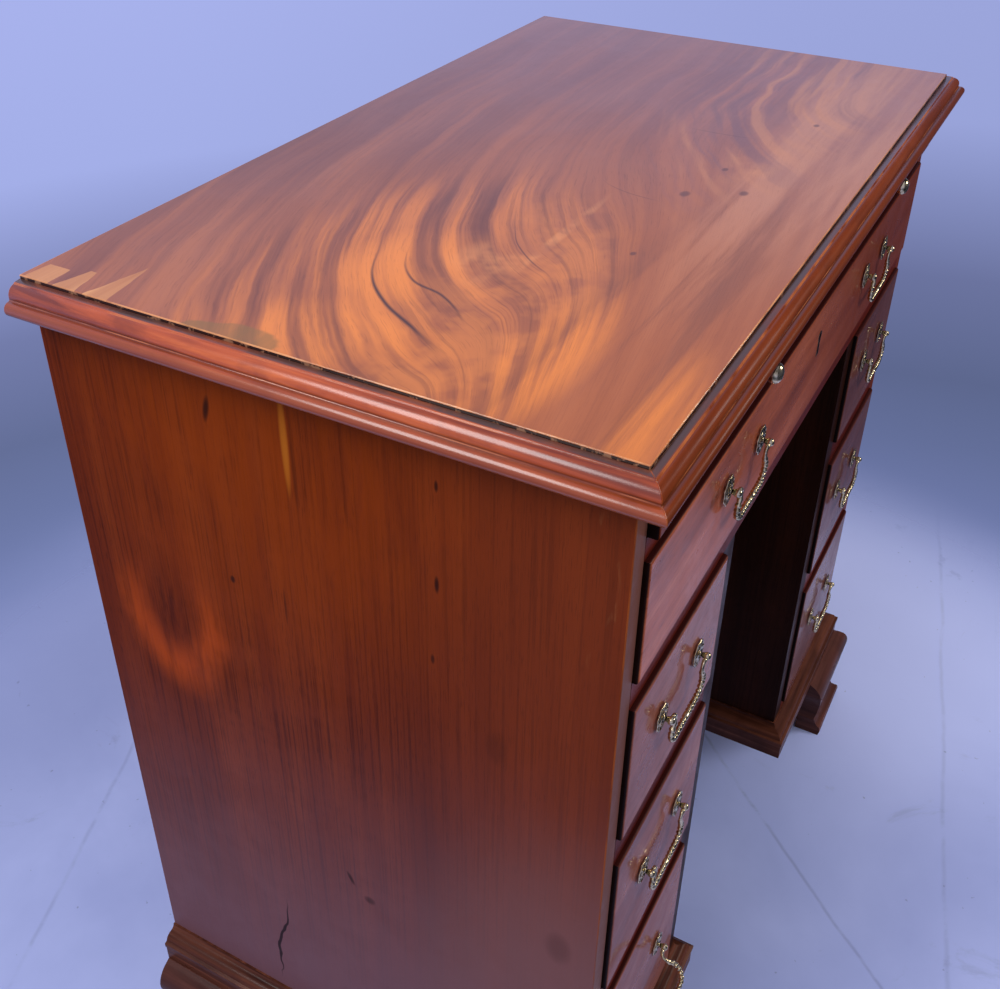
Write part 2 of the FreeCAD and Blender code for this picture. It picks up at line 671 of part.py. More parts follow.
keyway = keyhole("keyway", "0", "front_thickness", "face_y")
thread_seat = keyhole("thread_seat", "keyhole_thread", "keyhole_thread_depth", "face_y")
long_front = cut("long_drawer_front", long_board,
                 boolean("Part::MultiFuse", "keyhole_cut", [keyway, thread_seat]))
thread_blank = keyhole("thread_blank", "keyhole_thread", "keyhole_thread_depth + keyhole_thread_proud",
                       "face_y - keyhole_thread_proud")
thread_bore = keyhole("thread_bore", "0", "keyhole_thread_depth + keyhole_thread_proud",
                      "face_y - keyhole_thread_proud")
long_lock = group("long_drawer_lock", [
    cut("keyhole_thread_ring", thread_blank, thread_bore),
    board("lock_case", ("-lock_width / 2", "drawer_y", "keyhole_z - lock_height / 2"),
          ("lock_width", "lock_thickness", "lock_height"))])
left_long_x = "-long_handle_spread / 2"
left_handle = handle("long_drawer_left_handle", left_long_x, "long_handle_z")
long_plates = group("long_drawer_plates",
                    [left_handle, mirrored("long_drawer_right_handle", left_handle)])
left_long_bail = feature("long_drawer_bail_left", bail_shape, (left_long_x, "handle_y", "long_handle_z"))


def stop_pair(label, middle_x, spread, level):
    """Two small blocks on a dustboard, just behind a drawer's front."""
    return [board(f"{label}_{side}", (f"{middle_x} + {sign} * {spread} / 2 - stop_width / 2",
                                      "drawer_y + running_gap", level),
                  ("stop_width", "stop_depth", "stop_height"))
            for side, sign in (("left", -1), ("right", 1))]


left_stops = group("left_stops", [
    block for name, level in (("top", "high_z"), ("middle", "middle_z"), ("bottom", "floor_z"))
    for block in stop_pair(name + "_stop", "-short_middle_x", "stop_spread", level)])
drawer_stops = group("drawer_stops", [left_stops, mirrored("right_stops", left_stops)]
                     + stop_pair("long_stop", "0", "long_stop_spread", "long_z"))

# The cupboard behind the kneehole: floor, plinth rail, shelf and a framed door hinged on its left.
cupboard_depth = "inside_back_y - recess_y"
cupboard_boards = group("cupboard_boards", [
    board("cupboard_floor", ("-kneehole_x", "recess_y", "bottom_z"),
          ("2 * kneehole_x", cupboard_depth, "bottom_thickness")),
    board("cupboard_rail", ("-kneehole_x", "recess_y", "foot_height"),
          ("2 * kneehole_x", "base_rail_thickness", "skirt_height")),
    board("cupboard_shelf", ("-kneehole_x", "recess_y + door_thickness + cupboard_shelf_setback",
                             "(door_z + ceiling_z) / 2"),
          ("2 * kneehole_x", f"{cupboard_depth} - door_thickness - cupboard_shelf_setback",
           "cupboard_shelf_thickness"))])
door_inner_x = "door_x + door_frame_width"
stile = ("door_frame_width", "door_thickness", "door_height")
rail = ("door_opening_width", "door_thickness", "door_frame_width")
door_frame = group("cupboard_door_frame", [
    board("door_hinge_stile", ("door_x", "recess_y", "door_z"), stile),
    board("door_free_stile", (f"{door_inner_x} + door_opening_width", "recess_y", "door_z"), stile),
    board("door_bottom_rail", (door_inner_x, "recess_y", "door_z"), rail),
    board("door_top_rail", (door_inner_x, "recess_y", "door_z + door_height - door_frame_width"), rail)])
panel_back = board("door_panel_board",
                   (door_inner_x, "recess_y + door_panel_setback + door_field_rise",
                    "door_z + door_frame_width"),
                   ("door_opening_width", "door_panel_thickness", "door_opening_height"))
panel_field = doc.addObject("Part::Wedge", "door_panel_field")
for edge, formula in (("Xmin", "0"), ("Xmax", "door_opening_width"), ("Zmin", "0"),
                      ("Zmax", "door_opening_height"), ("X2min", "door_field_margin"),
                      ("X2max", "door_opening_width - door_field_margin"), ("Z2min", "door_field_margin"),
                      ("Z2max", "door_opening_height - door_field_margin"), ("Ymin", "0"),
                      ("Ymax", "door_field_rise")):
    panel_field.setExpression(edge, bind(formula))
panel_field.Placement = Placement(Vector(), Rotation(Vector(0, 0, 1), 180))
bind_place(panel_field, ("door_x + door_frame_width + door_opening_width",
                         "recess_y + door_panel_setback + door_field_rise", "door_z + door_frame_width"))
door_panel = boolean("Part::MultiFuse", "cupboard_door_panel", [panel_back, panel_field])


def hinge_pair(label, leaf_x, lower):
    """Two hinge leaves of one side; the lower barrels carry the pins, the upper ones turn on them."""
    radius = value("hinge_radius")
    thickness = value("hinge_leaf_thickness")
    length = value("hinge_length")
    barrel_height = length / 2 - value("hinge_gap") / 2
    pieces = []
    for level in (value("door_z + hinge_inset"), value("door_z + door_height - hinge_inset - hinge_length")):
        line = Vector(value("hinge_x"), value("hinge_y"), level)
        rise = Vector(0, 0, 0 if lower else length - barrel_height)
        leaf = Part.makeBox(thickness, value("door_thickness"), length,
                            Vector(leaf_x, value("recess_y"), level))
        web = Part.makeBox(thickness, radius, barrel_height, Vector(leaf_x, line.y, level) + rise)
        leaf = leaf.fuse([web, Part.makeCylinder(radius, barrel_height, line + rise)])
        if lower:
            leaf = leaf.fuse(Part.makeCylinder(value("hinge_pin_radius"), length, line))
        else:
            leaf = leaf.cut(Part.makeCylinder(value("hinge_pin_radius + pin_gap"), length, line))
        pieces.append(leaf.removeSplitter())
    return feature(label, Part.makeCompound(pieces))


hinge_leaves = hinge_pair("cupboard_hinge_leaves", value("-kneehole_x"), True)
door_leaves = hinge_pair("door_hinge_leaves", value("door_x - hinge_leaf_thickness"), False)
door_knob = feature("door_knob", turned(knob_shares, value("door_knob_radius"), value("door_knob_reach"),
                                         knob_sides),
                    ("door_x + door_width - door_frame_width / 2", "recess_y", "door_z + door_height / 2"))
door_fittings = group("cupboard_door_fittings", [door_leaves, door_knob])

nodes.extend([
    left_side, mirrored("right_side", left_side), left_inner, mirrored("right_inner_side", left_inner),
    slide_dustboard, long_dustboard, left_dustboards, mirrored("right_dustboards", left_dustboards),
    pedestal_bottoms, back_boards, top_board, top_front, top_left,
    mirrored("top_moulding_right", top_left), base_mouldings,
    front_left_foot, mirrored("front_right_foot", front_left_foot),
    back_left_foot, mirrored("back_right_foot", back_left_foot), foot_blocks,
    slide_panel, slide_frame, slide_kickers, slide_knobs, drawer_stops,
    long_front, long_box, long_lock, long_plates,
    left_long_bail, mirrored("long_drawer_bail_right", left_long_bail),
    cupboard_boards, door_frame, door_panel, hinge_leaves, door_fittings,
])

doc.recompute()
faults = [item.Name for item in doc.Objects if "Invalid" in item.State or "Error" in item.State]
faults.extend(item.Name for item in nodes if item.Shape.isNull() or not item.Shape.isValid())
if faults:
    raise SystemExit("not built: " + ", ".join(faults))
os.makedirs("parts", exist_ok=True)
for item in nodes:
    item.Shape.exportStep(os.path.join("parts", item.Label + ".step"))
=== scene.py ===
import math

import bmesh
import bpy
from mathutils import Matrix, Vector


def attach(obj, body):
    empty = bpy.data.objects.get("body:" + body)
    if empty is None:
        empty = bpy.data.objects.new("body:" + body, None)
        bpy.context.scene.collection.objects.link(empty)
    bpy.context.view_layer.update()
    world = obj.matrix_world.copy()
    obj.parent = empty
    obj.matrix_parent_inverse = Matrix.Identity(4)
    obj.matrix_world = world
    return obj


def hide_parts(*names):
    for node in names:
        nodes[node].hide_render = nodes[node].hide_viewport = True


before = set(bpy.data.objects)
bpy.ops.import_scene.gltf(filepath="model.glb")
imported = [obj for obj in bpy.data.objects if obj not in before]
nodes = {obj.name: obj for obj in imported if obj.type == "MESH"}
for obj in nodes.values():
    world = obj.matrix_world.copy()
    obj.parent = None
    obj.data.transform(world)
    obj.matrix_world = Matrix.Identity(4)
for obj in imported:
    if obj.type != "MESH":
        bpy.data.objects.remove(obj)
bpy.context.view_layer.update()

# The outer sides: two wide boards of mahogany, planed, set with the grain upright and french
# polished. They stand on the feet and carry the top. The left one shows an old knot, filled
# marks and a short split that runs up from the base moulding; a painted reflection of the floor
# greys it low down and at the front, and a painted sheen lies on its front edge.


def tone(red, green, blue):
    """A polish colour mixed on a screen, as linear light."""
    parts = [part / 255 for part in (red, green, blue)]
    return tuple(p / 12.92 if p < 0.04 else ((p + 0.055) / 1.055) ** 2.4 for p in parts) + (1.0,)


def deeper(colour, share):
    return tuple(part * share for part in colour[:3]) + (1,)


def paler(colour):
    return tuple(part ** 0.8 for part in colour[:3]) + (1,)


def feed(tree, node, inputs):
    """Gives a step its values, and links it to the steps that it draws on."""
    for name, given in dict(inputs).items():
        if isinstance(given, bpy.types.NodeSocket):
            tree.links.new(given, node.inputs[name])
        else:
            node.inputs[name].default_value = given


def lay(tree, kind, inputs=(), **settings):
    """One step of a finish: a node with its settings, its values and its feeds."""
    node = tree.nodes.new("ShaderNode" + kind)
    for name, setting in settings.items():
        setattr(node, name, setting)
    feed(tree, node, inputs)
    return node


def reckon(tree, operation, *terms):
    return lay(tree, "Math", dict(enumerate(terms)), operation=operation).outputs[0]


def times(tree, *terms):
    result = terms[0]
    for term in terms[1:]:
        result = reckon(tree, "MULTIPLY", result, term)
    return result


def less(tree, amount, taken):
    return reckon(tree, "SUBTRACT", amount, taken)


def gap(tree, one, other):
    return reckon(tree, "ABSOLUTE", less(tree, one, other))


def swayed(tree, amount, sway, share):
    """An amount moved off by a share of another."""
    return reckon(tree, "MULTIPLY_ADD", sway, share, amount)


def wavering(tree, amount, waves, width):
    """An amount that wavers by a width about its true value."""
    return swayed(tree, less(tree, amount, width / 2), waves, width)


def evenly(tree, amount, low, high, to_low=0.0, to_high=1.0, **easing):
    """The amount carried from one span to another and held at its ends."""
    spans = {"From Min": low, "From Max": high, "To Min": to_low, "To Max": to_high}
    return lay(tree, "MapRange", {"Value": amount, **spans}, **easing).outputs[0]


def between(tree, amount, low, high, to_low=0.0, to_high=1.0):
    """The same with a soft start and stop."""
    return evenly(tree, amount, low, high, to_low, to_high, interpolation_type="SMOOTHSTEP")


def axes(tree, vector):
    """A vector taken apart: along the front, from front to back, and up."""
    return lay(tree, "SeparateXYZ", {0: vector}).outputs[:]


def on_piece(tree):
    return lay(tree, "TexCoord").outputs["Object"]


def facing(tree):
    """The way a face looks, along the same three axes."""
    return axes(tree, lay(tree, "NewGeometry").outputs["True Normal"])


def rubbed_edges(tree):
    return lay(tree, "Attribute", attribute_name="rubbed").outputs["Fac"]


def spread(tree, vector, scale):
    return lay(tree, "Mapping", {"Vector": vector, "Scale": scale}).outputs[0]


def grain_along(tree, place, run, seed):
    """The place on a piece, turned so that the grain runs along one axis of the desk."""
    turn = {"X": (0, 0, 0), "Y": (0, 0, -math.pi / 2), "Z": (0, math.pi / 2, 0)}[run]
    return lay(tree, "Mapping", {"Vector": place, "Location": seed, "Rotation": turn}).outputs[0]


def cloud(tree, vector, detail, roughness=0.55, swirl=0.0, scale=1.0):
    inputs = {"Vector": vector, "Scale": scale, "Detail": detail, "Roughness": roughness,
              "Distortion": swirl}
    return lay(tree, "TexNoise", inputs).outputs[0]


def shades(tree, amount, stops):
    node = lay(tree, "ValToRGB", {0: amount})
    ramp = node.color_ramp
    while len(ramp.elements) < len(stops):
        ramp.elements.new(0.5)
    for element, (position, colour) in zip(ramp.elements, stops):
        element.position = position
        element.color = colour
    return node.outputs[0]


def stained(tree, colour, stain, *shares):
    """A colour with a stain laid over it, as strong as all the shares make it together."""
    inputs = {0: times(tree, *shares), 6: colour, 7: stain}
    return lay(tree, "Mix", inputs, data_type="RGBA").outputs[2]


def reaches_off(tree, amount, middle, reach):
    return reckon(tree, "DIVIDE", less(tree, amount, middle), reach)


def squares(tree, aside, above):
    return reckon(tree, "ADD", times(tree, aside, aside), times(tree, above, above))


def slant(tree, aside, above):
    """The straight way across two distances that stand square to each other."""
    return reckon(tree, "SQRT", squares(tree, aside, above))


def patch(tree, across, up, middle, reach, soft=1.0):
    """How far a spot lies inside an upright oval: one at its middle, nothing past its edge."""
    aside = reaches_off(tree, across, middle[0], reach[0])
    above = reaches_off(tree, up, middle[1], reach[1])
    return between(tree, squares(tree, aside, above), 1.0 - soft, 1.0, 1.0, 0.0)


def finish_of(name):
    finish = bpy.data.materials.new(name)
    finish.use_nodes = True
    return finish, finish.node_tree, finish.node_tree.nodes["Principled BSDF"]


def polish(tree, shader, colour, rubbing, grain_height, coat, gloss, shellac=1.5):
    """French polish: a thin clear coat over wood whose pores still show a little."""
    bump = lay(tree, "Bump", {"Height": grain_height, "Strength": 0.12, "Distance": 0.0006})
    feed(tree, shader, {"Base Color": colour, "Roughness": rubbing, "Normal": bump.outputs[0],
                        "Specular IOR Level": 0.04, "Coat Weight": coat, "Coat Roughness": gloss,
                        "Coat IOR": shellac})


def mahogany(name, run, dark, mid, light, seed=(0, 0, 0), swirl=0.6, rub=(0.3, 0.5), coat=0.05,
             gloss=0.12, lines=0.35, marks=None, wiped=None):
    """Straight mahogany, its grain along one axis: drifts, fine lines, pores and rubbed edges."""
    finish, tree, shader = finish_of(name)
    place = on_piece(tree)
    grain = grain_along(tree, place, run, seed)
    drift = cloud(tree, spread(tree, grain, (1.3, 6, 6)), 4, 0.5, swirl)
    streaks = cloud(tree, spread(tree, grain, (2.4, 55, 55)), 5, 0.6, 0.25)
    threads = cloud(tree, spread(tree, grain, (5, 420, 420)), 2, 0.5)
    pores = cloud(tree, spread(tree, grain, (75, 1300, 1300)), 1, 0.5)
    mottle = cloud(tree, grain, 4, 0.6, 0.4, 22.0)
    figure = swayed(tree, times(tree, streaks, 0.4), drift, 0.6)
    colour = shades(tree, figure, ((0.34, dark), (0.5, mid), (0.66, light)))
    colour = stained(tree, colour, mid, between(tree, mottle, 0.35, 0.7, 0.0, 0.4))
    lined = times(tree, between(tree, threads, 0.47, 0.66),
                  between(tree, mottle, 0.3, 0.6, 0.3, 1.0), lines)
    colour = stained(tree, colour, deeper(dark, 0.5), lined)
    flecks = between(tree, pores, 0.57, 0.68, 0.0, 0.4)
    colour = stained(tree, colour, deeper(dark, 0.4), flecks)
    if marks:
        colour = marks(tree, place, colour)
    colour = stained(tree, colour, paler(light), rubbed_edges(tree),
                     between(tree, mottle, 0.35, 0.6, 0.1, 0.75))
    rubbing = between(tree, mottle, 0.3, 0.72, rub[0], rub[1])
    height = less(tree, times(tree, streaks, 0.4), reckon(tree, "ADD", flecks, lined))
    if wiped:
        coat = times(tree, wiped(tree), coat)
    polish(tree, shader, colour, rubbing, height, coat, gloss)
    return finish


def dress(finish, *names):
    for name in names:
        nodes[name].data.materials.clear()
        nodes[name].data.materials.append(finish)


def piece(name, shape, finish, body, stands_for):
    """A finished mesh as a named piece that rides on a body in place of its plain node."""
    mesh = bpy.data.meshes.new(name)
    shape.to_mesh(mesh)
    shape.free()
    old_normals = mesh.attributes.get("custom_normal")
    if old_normals:
        mesh.attributes.remove(old_normals)
    thing = bpy.data.objects.new(name, mesh)
    bpy.context.scene.collection.objects.link(thing)
    mesh.materials.clear()
    mesh.materials.append(finish)
    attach(thing, body)
    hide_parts(stands_for)


def eased(name, node, finish, arris, moulded=False):
    """A board or moulding with its sharp edges rubbed round, made from a copy of its node."""
    seam, flat, sharp_from = 1e-5, 0.01, 0.6
    shape = bmesh.new()
    shape.from_mesh(nodes[node].data)
    bmesh.ops.remove_doubles(shape, verts=shape.verts, dist=seam)
    bmesh.ops.dissolve_limit(shape, angle_limit=flat, verts=shape.verts, edges=shape.edges)
    bmesh.ops.recalc_face_normals(shape, faces=shape.faces)
    rubbed = shape.faces.layers.float.new("rubbed")
    sharp = [edge for edge in shape.edges
             if edge.is_manifold and edge.calc_face_angle() > sharp_from]
    worn = bmesh.ops.bevel(shape, geom=sharp, offset=arris, offset_type="OFFSET", segments=2,
                           profile=0.5, affect="EDGES", clamp_overlap=True, material=-1)["faces"]
    for face in shape.faces:
        face.smooth = moulded and len(face.verts) < 5
    for face in worn:
        face.smooth = True
        face[rubbed] = 1.0
    piece(name, shape, finish, "carcase", node)


def side_marks(tree, place, colour):
    """The marks of age on the left side, by their place on the board, with a painted floor
    reflection low down and a painted sheen on the front edge.
    """
    _, deep, up = axes(tree, place)
    waver = cloud(tree, place, 3, 0.6, 0.0, 14.0)
    brush = cloud(tree, spread(tree, place, (90, 90, 14)), 4, 0.6, 0.3)
    wavy = wavering(tree, deep, waver, 0.03)

    glow = patch(tree, wavy, up, (0.05, 0.76), (0.2, 0.26))
    colour = stained(tree, colour, tone(124, 49, 4), glow,
                     between(tree, brush, 0.3, 0.65, 0.25, 0.7))
    colour = stained(tree, colour, tone(118, 54, 32), between(tree, deep, 0.02, -0.18, 0.0, 0.4))
    # Painted reflection of the floor: a grey-mauve haze low down, and more of it low at the front.
    floor_reflection = between(tree, swayed(tree, up, deep, 0.2), 0.56, 0.16)
    colour = stained(tree, colour, tone(106, 76, 88), floor_reflection, 0.9)
    front_low_reflection = patch(tree, deep, up, (-0.19, 0.28), (0.17, 0.26))
    colour = stained(tree, colour, tone(118, 82, 84), front_low_reflection, 0.45)

    knot_middle, knot_reach = (0.146, 0.562), (0.036, 0.064)
    aside = reaches_off(tree, wavy, knot_middle[0], knot_reach[0])
    above = reaches_off(tree, up, knot_middle[1], knot_reach[1])
    far = slant(tree, aside, above)
    ring = between(tree, gap(tree, far, 1.0), 0.0, 0.55, 1.0, 0.0)
    colour = stained(tree, colour, tone(172, 70, 18), ring,
                     between(tree, brush, 0.3, 0.6, 0.35, 1.0),
                     between(tree, above, 0.7, -0.5, 0.1, 1.0), 0.6)
    heart = between(tree, far, 0.75, 0.1, 0.0, 0.6)
    colour = stained(tree, colour, tone(52, 16, 8), heart, between(tree, brush, 0.6, 0.4))

    for middle, reach, lean, strength, stain in (
            ((0.031, 0.732), (0.0034, 0.045), 0.0, 0.4, (196, 120, 36)),
            ((0.026, 0.72), (0.0022, 0.05), 0.0, 0.35, (58, 22, 8)),
            ((0.088, 0.737), (0.003, 0.012), 0.2, 0.85, (26, 12, 8)),
            ((-0.071, 0.737), (0.0016, 0.005), 0.0, 0.8, (26, 12, 8)),
            ((-0.07, 0.667), (0.002, 0.008), 0.0, 0.85, (22, 10, 8)),
            ((-0.066, 0.607), (0.0018, 0.005), 0.0, 0.7, (26, 12, 8)),
            ((0.086, 0.606), (0.0025, 0.004), 0.0, 0.8, (24, 12, 10)),
            ((0.044, 0.6), (0.0012, 0.02), 0.0, 0.5, (34, 14, 8)),
            ((0.011, 0.346), (0.0026, 0.008), -0.4, 0.75, (26, 16, 16)),
            ((-0.005, 0.33), (0.006, 0.005), 0.0, 0.6, (34, 22, 20)),
            ((-0.159, 0.385), (0.012, 0.02), 0.0, 0.3, (44, 20, 16)),
            ((-0.11, 0.553), (0.01, 0.018), 0.0, 0.25, (44, 18, 10))):
        slanted = swayed(tree, deep, less(tree, up, middle[1]), lean)
        mark = patch(tree, slanted, up, middle, reach)
        colour = stained(tree, colour, tone(*stain), mark, strength)

    scratch = patch(tree, deep, up, (-0.17, 0.7), (0.012, 0.06))
    colour = stained(tree, colour, tone(186, 140, 96), scratch,
                     between(tree, brush, 0.56, 0.66), 0.4)
    split_middle, split_reach = (0.107, 0.215), (0.0016, 0.065)
    split = patch(tree, swayed(tree, wavy, up, 0.09), up, split_middle, split_reach, 0.7)
    colour = stained(tree, colour, tone(22, 9, 8), split, 0.9)
    # Painted sheen: faces that look forward, the side's front edge, are painted mauve-brown.
    _, look_back, _ = facing(tree)
    return stained(tree, colour, tone(104, 72, 66), between(tree, look_back, -0.6, -0.9, 0.0, 0.7))


side_arris = 0.0008
upright = (tone(68, 19, 6), tone(96, 35, 11), tone(121, 51, 17))
left_polish = mahogany("left_side_polish", "Z", *upright, seed=(0.2, 0.13, 0.4), coat=0.01,
                       lines=0.55, marks=side_marks)
eased("left_polished_side", "left_side", left_polish, side_arris)
right_polish = mahogany("right_side_polish", "Z", *upright, seed=(1.7, 2.1, 0.6))
eased("right_polished_side", "right_side", right_polish, side_arris)

# The inner sides of the kneehole, and the cupboard's boards and framed door between them: the
# same wood, planed and polished, darkened by shade, handling and old polish.
shaded = (tone(22, 9, 5), tone(40, 17, 9), tone(60, 28, 16))
dress(mahogany("kneehole_polish", "Z", *shaded, seed=(0.6, 0.3, 1.4), coat=0.03),
      "left_inner_side", "right_inner_side", "cupboard_door_frame", "cupboard_door_panel")
dress(mahogany("cupboard_polish", "X", *shaded, seed=(0.9, 1.3, 0.4), coat=0.03),
      "cupboard_boards")

# The back boards, kickers and stops: plain mahogany of the second quality, sawn and planed,
# fixed out of sight and never polished, gone dry and dusty.
second = (tone(62, 24, 12), tone(92, 42, 22), tone(122, 64, 36))
dress(mahogany("back_boards_wood", "Z", *second, seed=(2.2, 0.2, 0.1), rub=(0.55, 0.75), coat=0.0),
      "back_boards")
dress(mahogany("kicker_wood", "Y", *second, seed=(0.1, 0.5, 1.1), rub=(0.55, 0.75), coat=0.0),
      "slide_kickers", "drawer_stops")

# The dustboards and pedestal bottoms: boards housed between the sides. Only their front edges
# show, as dark red rails between the drawers, wiped but hardly polished.
rail_wood = (tone(58, 15, 9), tone(84, 25, 16), tone(106, 38, 24))
dress(mahogany("dustboard_wood", "X", *rail_wood, seed=(0.4, 1.9, 0.7), coat=0.12, gloss=0.25),
      "slide_dustboard", "long_drawer_dustboard", "left_dustboards", "right_dustboards",
      "pedestal_bottoms")

# The base mouldings and the ogee bracket feet: worked with moulding planes from mahogany and
# mitred at the corners, so the grain follows each run. Blocks glued inside carry the weight, and
# are painted near black as the shade inside the feet.


def run_mahogany(name, dark, mid, light, seed=(0, 0, 0), coat=0.15, gloss=0.15, shellac=1.5,
                 wear=None):
    """Mahogany of mitred runs: along Y where a face looks along X, otherwise along X."""
    finish, tree, shader = finish_of(name)
    place = on_piece(tree)
    look_aside, look_back, _ = facing(tree)
    sideways = reckon(tree, "GREATER_THAN", reckon(tree, "ABSOLUTE", look_aside),
                      reckon(tree, "ABSOLUTE", look_back))
    along_x, along_y = [cloud(tree, spread(tree, grain_along(tree, place, run, seed), (5, 90, 90)),
                              6, 0.62, 0.5) for run in "XY"]
    streaks = lay(tree, "Mix", {0: sideways, 2: along_x, 3: along_y}).outputs[0]
    mottle = cloud(tree, place, 4, 0.6, 0.4, 22.0)
    colour = shades(tree, streaks, ((0.34, dark), (0.5, mid), (0.66, light)))
    colour = stained(tree, colour, dark, between(tree, mottle, 0.45, 0.75, 0.0, 0.6))
    if wear:
        colour = wear(tree, place, mottle, colour)
    colour = stained(tree, colour, paler(light), rubbed_edges(tree),
                     between(tree, mottle, 0.4, 0.65, 0.0, 0.45))
    rubbing = between(tree, mottle, 0.3, 0.72, 0.25, 0.42)
    kept = times(tree, between(tree, look_back, -0.15, -0.5, 1.0, 0.07), coat)
    polish(tree, shader, colour, rubbing, streaks, kept, gloss, shellac)
    return finish


low_wood = (tone(48, 22, 16), tone(80, 43, 32), tone(104, 60, 46))
dress(run_mahogany("base_moulding_polish", *low_wood), "base_mouldings")
foot_wood = (tone(58, 32, 28), tone(78, 45, 40), tone(95, 57, 51))
dress(run_mahogany("foot_polish", *foot_wood, seed=(0.3, 0.8, 0.2)),
      "front_left_foot", "front_right_foot", "back_left_foot", "back_right_foot")
# Painted shade: the glue blocks are painted near black for the shade inside the feet.
block_shade = (tone(16, 12, 9), tone(30, 24, 18), tone(46, 36, 26))
dress(mahogany("foot_block_wood", "Z", *block_shade, rub=(0.6, 0.8), coat=0.0), "foot_blocks")

# The top: one wide board of figured mahogany, laid on the sides, whose flame sweeps in from the
# right, bends over and runs down to the left front. A fainter arch lies at the front right, paler
# straight grain along the front, and slips of new wood are let in at the back of the left end.
field_half, field_front = 0.356, -0.1925


def none_below(tree, amount):
    """The amount, or nothing where it would be less than nothing."""
    return reckon(tree, "MAXIMUM", amount, 0.0)


def drawn_line(tree, across, deep, points, width):
    """A thin line through points of (deep, across): one on the line, fading to edge and ends."""
    low, high = points[0][0], points[-1][0]
    left = min(point[1] for point in points)
    right = max(point[1] for point in points)
    run = evenly(tree, deep, low, high)
    bend = lay(tree, "FloatCurve", {"Value": run})
    curve = bend.mapping.curves[0]
    while len(curve.points) < len(points):
        curve.points.new(0.5, 0.5)
    for dot, (depth, aside) in zip(curve.points, points):
        dot.location = ((depth - low) / (high - low), (aside - left) / (right - left))
    bend.mapping.update()
    middle = swayed(tree, left, bend.outputs[0], right - left)
    inside = times(tree, between(tree, run, 0.0, 0.3), between(tree, run, 1.0, 0.6))
    return times(tree, between(tree, gap(tree, across, middle), 0.0, width, 1.0, 0.0), inside)


